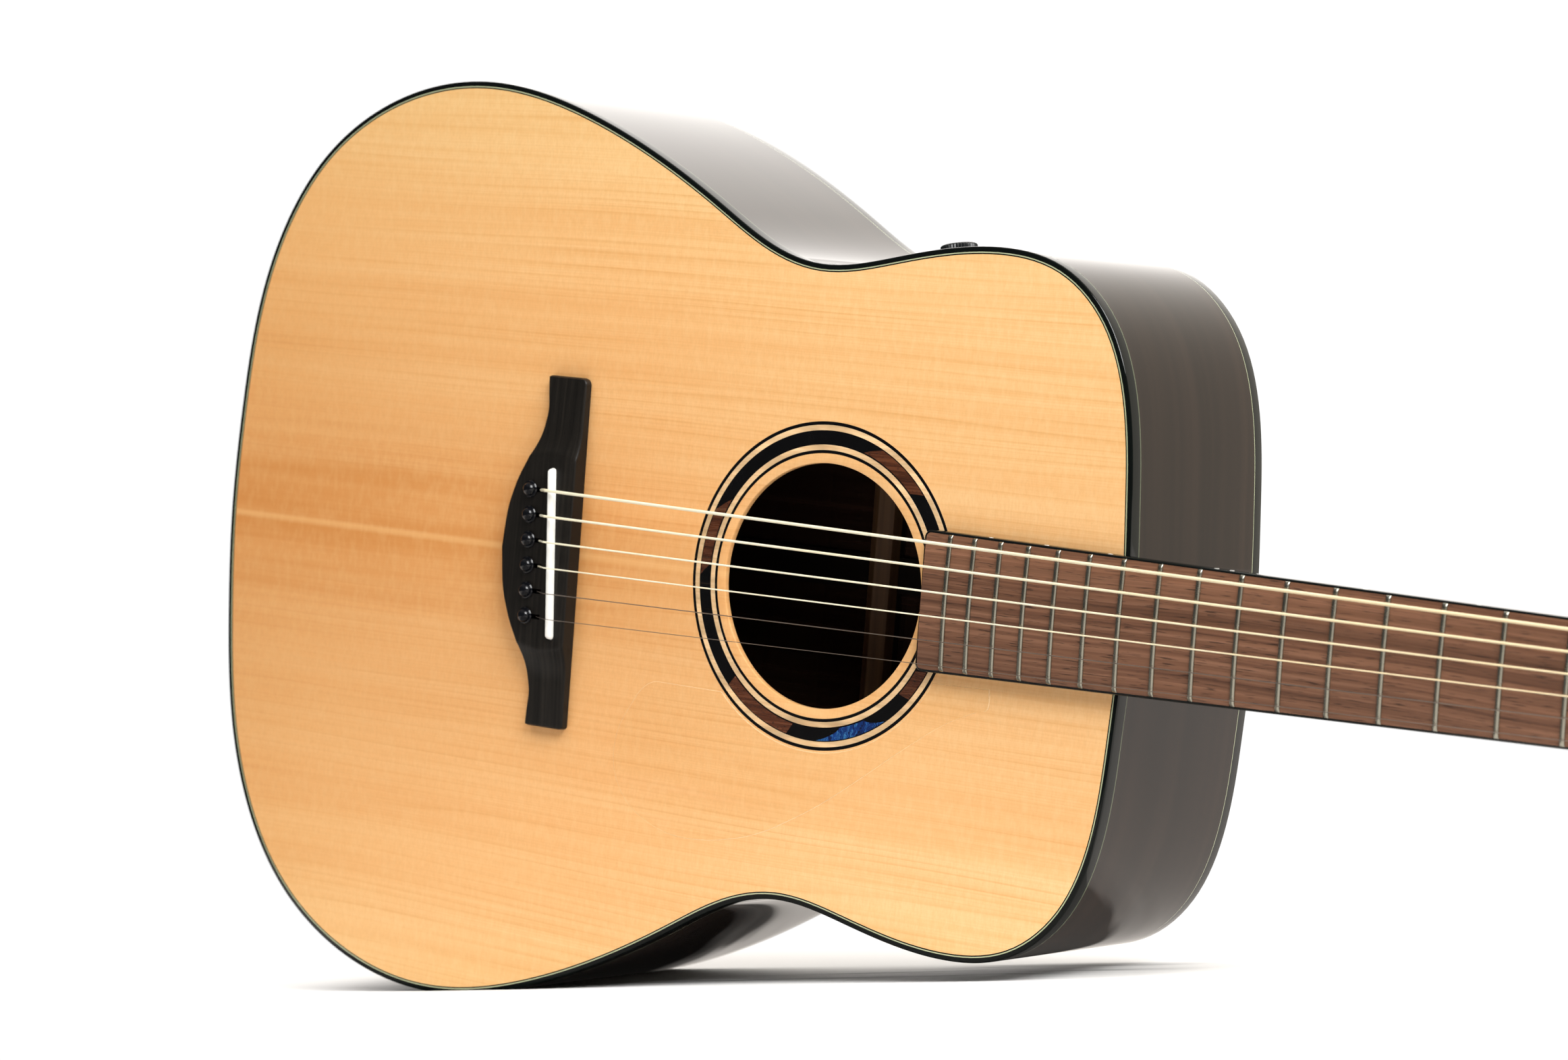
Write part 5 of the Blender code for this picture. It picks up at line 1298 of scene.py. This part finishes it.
# Button: distance out, half thickness, half breadth.
BUTTON_ROWS = smooth_rows((
    (12.6, 1.9, 1.9), (13.4, 1.95, 1.95), (14.0, 3.0, 3.0), (15.4, 3.1, 3.2), (17.6, 2.9, 5.0),
    (20.0, 3.25, 7.6), (23.5, 3.75, 8.8), (27.0, 3.8, 9.0), (30.0, 3.5, 8.3),
    (32.6, 2.7, 6.2), (34.0, 1.7, 3.9), (34.6, 0.7, 1.6)), 40)


def tuner_matrix(along, z):
    """Local axes of a tuner: outwards to its button, along the headstock, out of its face."""
    outwards = Vector((0, 0, 1 if z > 0 else -1))
    axes = Matrix((outwards, HEAD_OUT.cross(outwards), HEAD_OUT)).transposed()
    return Matrix.Translation(head_point(along, z, 0)) @ axes.to_4x4()


def tuner_case(worm_y):
    back = -HEAD_T - 0.3
    y_span = (-7.0, worm_y + 4.2) if worm_y > 0 else (worm_y - 4.2, 7.0)
    case = soft_box((-8.0, 8.5), y_span, (back - 11.5, back), radius=3.0, edge=1.6)
    case.add(lathe([(0, back - 10), (3.3, back - 10), (3.3, back - 11.9), (3.0, back - 12.2),
                    (0, back - 12.25)], 36))
    case.add(lathe(SNOUT_PROFILE, 32).along_x(0.0, worm_y, WORM_DEPTH))
    return case


def tuner_nut():
    """A hexagonal nut round a turned bushing."""
    nut = loft([[(radius * c, radius * s, height) for c, s in unit_circle(6)]
                for radius, height in HEX_STEPS])
    nut.add(lathe(BUSHING_PROFILE, 40))
    return nut


def tuner_button():
    """A thin shaft that swells into a flat, soft-cornered button."""
    circle = unit_circle(32)
    rings = [[(-5.9, 1.9 * c, 1.9 * s) for c, s in circle]]
    for x, thick, broad in BUTTON_ROWS:
        power = 2 / (2.0 if x < 16.5 else 2.5)
        rings.append([(x, thick * math.copysign(abs(c) ** power, c),
                       broad * math.copysign(abs(s) ** power, s)) for c, s in circle])
    return loft(rings)


for number, (along, z) in TUNERS.items():
    at_post = tuner_matrix(along, z)
    worm_y = -WORM_OFFSET if z > 0 else WORM_OFFSET
    piece(f"tuner_case_{number}", tuner_case(worm_y).moved(at_post), CHROME,
          f"tuner_housing_{number}")
    piece(f"tuner_washer_{number}", lathe(WASHER_PROFILE, 48).moved(at_post), CHROME)
    piece(f"tuner_nut_{number}", tuner_nut().moved(at_post), CHROME, smooth=20.0)
    bore = tube([(-6.0, 0.0, 8.6), (6.0, 0.0, 8.6)], radius=0.95, sides=16)
    post = carve(f"post_{number}", lathe(POST_PROFILE, 40).moved(at_post), [bore.moved(at_post)])
    piece(f"tuner_post_turned_{number}", post, CHROME, f"tuner_post_{number}",
          body=f"tuner_post_{number}")
    at_button = at_post @ Matrix.Translation(Vector((0, worm_y, WORM_DEPTH)))
    button = f"tuner_button_{number}"
    piece(f"tuner_key_{number}", tuner_button().moved(at_button), CHROME, button,
          body=button, smooth=50.0)
    piece(f"tuner_key_screw_{number}", lathe(SCREW_PROFILE, 28).along_x().moved(at_button),
          SCREW, body=button)

# ------------------------------------------------------------------- strings
WRAP_TURNS = (1.3, 1.5, 1.75, 2.0, 2.3, 2.6)


def string_path(i):
    """From inside the body, over the saddle and nut, and down round the post."""
    radius = STRING_D[i] / 2
    pin_x, pin_z = PINS[i]
    z = string_z(i, X_SADDLE)
    x = saddle_x((z - SADDLE_BASS[1]) / (SADDLE_TREBLE[1] - SADDLE_BASS[1]))
    z = string_z(i, x)
    rise_x = pin_x + PIN_HOLE_R + 0.35
    face = BRIDGE_BOTTOM - BRIDGE_H
    y_saddle = string_under(x, z) - radius
    y_nut = string_under(X_NUT, string_z(i, X_NUT)) - radius
    path = [
        (rise_x, TOP + TOP_T + 4.8, pin_z), (rise_x, BRIDGE_BOTTOM - 3.5, pin_z),
        (rise_x + 0.15, face + 3.3, pin_z), (rise_x + 0.5, face + 2.6, pin_z),
        (rise_x + 1.4, face + 1.2, pin_z), (rise_x + 2.6, face + 0.2, pin_z),
        (x - 1.6, y_saddle + 0.55, z), (x - 1.1, y_saddle + 0.2, z), (x - 0.6, y_saddle, z),
        (x + 0.8, y_saddle, z),
        (X_NUT + 0.2, y_nut, string_z(i, X_NUT)), (X_NUT + 5.4, y_nut, string_z(i, X_NUT + 5))]

    # The wrap leaves the straight run at a tangent, in (along, outwards) on the headstock.
    along, post_z = TUNERS[6 - i]
    side = 1 if post_z > 0 else -1
    wrap_r = POST_R + 0.55 + radius
    leaving = Vector(((Vector(path[-1]) - HEAD_START).dot(HEAD_ALONG), side * path[-1][2]))
    centre = Vector((along, side * post_z))
    gap = leaving - centre
    first = math.atan2(gap.y, gap.x) + math.acos(wrap_r / gap.length)
    pitch = 2 * radius + 0.28
    turns = WRAP_TURNS[i]
    steps = int(turns * 24)
    for k in range(steps + 1):
        angle = first + 2 * math.pi * turns * k / steps
        path.append(head_point(centre.x + wrap_r * math.cos(angle),
                               side * (centre.y + wrap_r * math.sin(angle)),
                               10.2 - pitch * turns * k / steps))
    return path


for i, diameter in enumerate(STRING_D):
    mat, slot = (BRONZE, "wound_bronze") if i < 4 else (STEEL, "plain_steel")
    piece(f"string_{6 - i}_wire", tube(string_path(i), diameter / 2, sides=12), mat,
          f"string_{6 - i}", smooth=75.0)

# ------------------------------------------------------------ knob and jack
KNOB_SCALE = 7.9 / 7.5               # knob radius over the radius its profile is drawn for
KNOB_PLACE = standing_on(Vector((132.82, TOP + 32.0, 141.59)),
                         Vector((-0.198215, 0.0, 0.980159)).normalized())
STEM_R = 3.0
TEETH, TOOTH_STEPS = 36, 4
# (radius, depth of the knurling, height); radii up to STEM_R are not scaled.
KNOB_PROFILE = (
    (2.9, 0.0, -11.0), (2.9, 0.0, 0.4), (6.6, 0.0, 0.4), (7.1, 0.0, 0.5), (7.2, 0.25, 1.0),
    (7.25, 0.45, 1.5), (7.25, 0.45, 4.4), (7.0, 0.35, 4.9), (6.7, 0.0, 5.2), (6.2, 0.0, 5.4),
    (5.6, 0.0, 5.45), (5.3, 0.0, 5.3), (3.0, 0.0, 5.1), (1.0, 0.0, 5.05))


def knob_shell():
    rings = []
    for radius, depth, height in KNOB_PROFILE:
        if radius > STEM_R:
            radius *= KNOB_SCALE
        if depth > 0:
            radius += 0.22
        ring = []
        for k, (c, s) in enumerate(unit_circle(TEETH * TOOTH_STEPS)):
            reach = radius - depth * 0.5 * (1 - math.cos(math.tau * k / TOOTH_STEPS))
            ring.append((reach * c, reach * s, height))
        rings.append(ring)
    return loft(rings)


piece("volume_knob_knurled", knob_shell().moved(KNOB_PLACE), KNOB_BLACK,
      "volume_knob", body="volume_knob", smooth=38.0)
mark = soft_box((3.4, 6.3), (-0.28, 0.28), (5.0, 5.56), radius=0.2, edge=0.08)
piece("volume_knob_mark", mark.moved(KNOB_PLACE), DOT_WHITE, body="volume_knob")

# (radius, distance into the body from the tail)
JACK_PROFILE = [
    (3.2, -14.0), (3.4, -14.3), (6.1, -14.3), (6.6, -14.1), (7.7, -13.6), (8.1, -13.2),
    (8.2, -12.8), (8.2, -11.8), (8.0, -11.2), (7.2, -10.2), (6.4, -9.3), (6.05, -8.6),
    (6.0, -8.0), (6.0, -6.2), (6.1, -5.4), (6.5, -4.5), (7.9, -2.0), (8.3, -1.3),
    (8.4, -0.9), (8.4, -0.55), (5.9, -0.5), (5.9, 34.0), (3.2, 34.0)]
piece("end_jack_turned", lathe(JACK_PROFILE, 56).along_x(X_TAIL - 0.5, TOP + 62.0, 0.0),
      CHROME, "end_pin_jack", smooth=30.0)

# --------------------------------------------------------- floor (in metres)
# The lower bout and the headstock's keys touch the floor, so it slopes a little.
FLOOR_SLOPE = 0.174
FLOOR_TOUCH = Vector((-0.1105, 0.0, -0.2052))
FLOOR_RADII = (1.9, 1.5)
FLOOR_SIDES = 96


def floor_white():
    """White, with painted shadow streaks under the body, an even white glow far off, and a painted
    reflection for gloss rays.
    """
    look = Look("floor_white", Roughness=0.6, Specular_IOR_Level=0.1)
    x, y, _ = look.node("SeparateXYZ", look.node("NewGeometry").outputs["Position"]).outputs

    def squared(offset, reach):
        return look.math("POWER", look.math("DIVIDE", offset, reach), 2.0)

    def ahead():
        return look.times(y, -5.0)

    def lengthwise():
        return look.affine(x, factor=2.0, offset=0.4)

    # Elliptical distance from the body blends the shadowed floor into an even white.
    apart = look.math("SQRT", look.math("ADD", squared(look.math("SUBTRACT", x, 0.05), 0.30),
                                        squared(look.math("ADD", y, 0.05), 0.16)))
    far = look.ramp(look.times(apart, 0.25), (0.25, 0.0), (0.46, 1.0), interpolation="EASE")
    even_strength = 1.03
    even = look.node("Emission", (1.0, 1.0, 1.0), even_strength)
    # Painted shadow streaks, darker in a band under the body.
    shadow_streak_noise = look.noise((4.5, 42.0, 1.0), detail=2.0, rough=0.5, distortion=0.3)
    under = look.times(
        look.ramp(ahead(), (0.02, 0.0), (0.12, 1.0), (0.38, 1.0), (0.46, 0.0)),
        look.ramp(lengthwise(), (0.02, 0.0), (0.14, 1.0), (0.80, 1.0), (0.94, 0.0)))
    painted_shadow_streaks = look.ramp(shadow_streak_noise, (0.38, 0.50), (0.48, 0.93), (0.60, 0.97))
    look.set("Base Color", look.mix(under, (0.96, 0.96, 0.96), painted_shadow_streaks))

    # What gloss sees is a painted reflection, glowing: a painted shadow, dark under the body up to
    # a slanting, rippled edge, pale beyond it.
    slant = look.affine(look.math("MAXIMUM", x, 0.0), factor=0.14, offset=y)
    past_bout = look.math("MAXIMUM", look.math("SUBTRACT", x, 0.19), 0.0)
    slant = look.affine(past_bout, factor=0.25, offset=slant)
    waves = look.noise((14.0, 45.0, 1.0), detail=2.0, rough=0.5)
    slant = look.affine(look.math("SUBTRACT", waves, 0.5), factor=0.05, offset=slant)
    behind = look.ramp(look.affine(slant, factor=10.0, offset=0.46),
                       (0.28, 0.006), (0.46, 0.14), (0.57, 0.72), (0.85, 1.0))
    ahead_of = look.ramp(ahead(), (0.58, 0.0), (0.72, 0.30))
    from_middle = look.math("ABSOLUTE", look.math("SUBTRACT", x, 0.01))
    aside = look.rise(look.times(from_middle, 3.0), 0.82, 0.93)
    least = look.ramp(lengthwise(), (0.74, 0.0), (0.92, 0.36))
    lit = look.math("MAXIMUM", look.math("MAXIMUM", behind, least),
                    look.math("MAXIMUM", ahead_of, aside))
    painted_floor_reflection = look.node("Emission", (1.0, 0.93, 0.86), lit)
    plain_view = look.node("MixShader", far, look.shader, even)
    glossy_ray = look.node("LightPath").outputs["Is Glossy Ray"]
    look.surface(look.node("MixShader", glossy_ray, plain_view, painted_floor_reflection))
    return look.mat


floor_mesh = bpy.data.meshes.new("floor")
rim = [(FLOOR_RADII[0] * c, FLOOR_RADII[1] * s, 0.0) for c, s in unit_circle(FLOOR_SIDES)]
fan = [(0, 1 + i, 1 + (i + 1) % FLOOR_SIDES) for i in range(FLOOR_SIDES)]
floor_mesh.from_pydata([(0, 0, 0)] + rim, [], fan)
floor = bpy.data.objects.new("floor", floor_mesh)
bpy.context.scene.collection.objects.link(floor)
floor.matrix_world = (
    Matrix.Translation(FLOOR_TOUCH + Vector((0.2, 0.1, 0.2 * FLOOR_SLOPE)))
    @ Matrix.Rotation(-math.atan(FLOOR_SLOPE), 4, "Y"))
floor_mesh.materials.append(floor_white())


# ------------------------------------------------------------- world, lights
def studio_world():
    """Bright behind and above, dark past the camera, so that black parts stay black."""
    world = bpy.data.worlds.new("studio")
    bpy.context.scene.world = world
    world.use_nodes = True
    nodes = Nodes(world.node_tree)
    nodes.tree.nodes.clear()
    output = nodes.node("OutputWorld")
    direction = nodes.node("TexCoord").outputs["Generated"]
    x, y, z = nodes.node("SeparateXYZ", direction).outputs
    ray = nodes.node("LightPath")

    def fade(value, start, end, level_to=1.0):
        return nodes.node("MapRange", value, start, end, 0.0, level_to,
                          interpolation_type="SMOOTHSTEP")

    behind = fade(y, start=-0.05, end=0.30)
    above = fade(z, start=0.30, end=0.75, level_to=0.85)
    tailward = fade(x, start=0.65, end=-0.75)
    tone = nodes.mix(tailward, (1.0, 0.93, 0.80), (1.0, 0.962, 0.925))
    glow = nodes.times(behind, nodes.affine(tailward, factor=1.60, offset=0.68))
    # Gloss sees a dimmer sky.
    sky = nodes.times(above, nodes.affine(ray.outputs["Is Glossy Ray"], factor=-0.7, offset=1.0))
    least_strength, seen_strength = 0.06, 1.05
    strength = nodes.math("MAXIMUM", nodes.math("MAXIMUM", glow, sky), least_strength)
    fill = nodes.node("Background", tone, strength)
    seen = nodes.node("Background", (1.0, 1.0, 1.0), seen_strength)
    choose = nodes.node("MixShader", ray.outputs["Is Camera Ray"], fill, seen)
    nodes.put(output.inputs["Surface"], choose)


def area(name, at, aim, size, power):
    data = bpy.data.lights.new(name, "AREA")
    data.shape = "RECTANGLE"
    data.size = data.size_y = size
    data.energy = power
    lamp = bpy.data.objects.new(name, data)
    bpy.context.scene.collection.objects.link(lamp)
    lamp.location = at
    lamp.rotation_euler = (Vector(aim) - Vector(at)).to_track_quat("-Z", "Y").to_euler()
    return lamp


studio_world()
area("key_above", at=(1.66, -1.01, 1.82), aim=(0.05, -0.1, 0.0), size=1.6, power=92.0)
fill_lamp = area("fill_above", at=(-0.75, -1.15, 2.1), aim=(0.0, -0.1, 0.05), size=1.3, power=20.0)
fill_lamp.visible_glossy = False

# -------------------------------------------------------------------- camera
CAMERA_AT = Vector((1.171991, -1.537044, 0.125424))
CAMERA_AXES = Matrix((               # its right, its up, and backwards from its view
    (0.7878856, 0.6112732, 0.0747089),
    (-0.0943813, -0.0000225, 0.9955361),
    (0.6085462, -0.7914197, 0.0576750)))

camera_data = bpy.data.cameras.new("camera")
camera_data.sensor_width = 36.0
camera_data.sensor_fit = "HORIZONTAL"
camera_data.lens = 98.056
camera_data.clip_start = 0.05
camera_data.clip_end = 50.0
sharp = bpy.data.objects.new("sharp_point", None)
sharp.location = (0.1010, -0.1441, 0.0239)
bpy.context.scene.collection.objects.link(sharp)
camera_data.dof.use_dof = True
camera_data.dof.focus_distance = 1.76
camera_data.dof.focus_object = sharp
camera_data.dof.aperture_fstop = 13.0
camera = bpy.data.objects.new("camera", camera_data)
bpy.context.scene.collection.objects.link(camera)
camera.matrix_world = Matrix.Translation(CAMERA_AT) @ CAMERA_AXES.transposed().to_4x4()
bpy.context.scene.camera = camera
bpy.context.scene.view_settings.view_transform = "Standard"
bpy.context.scene.view_settings.look = "None"
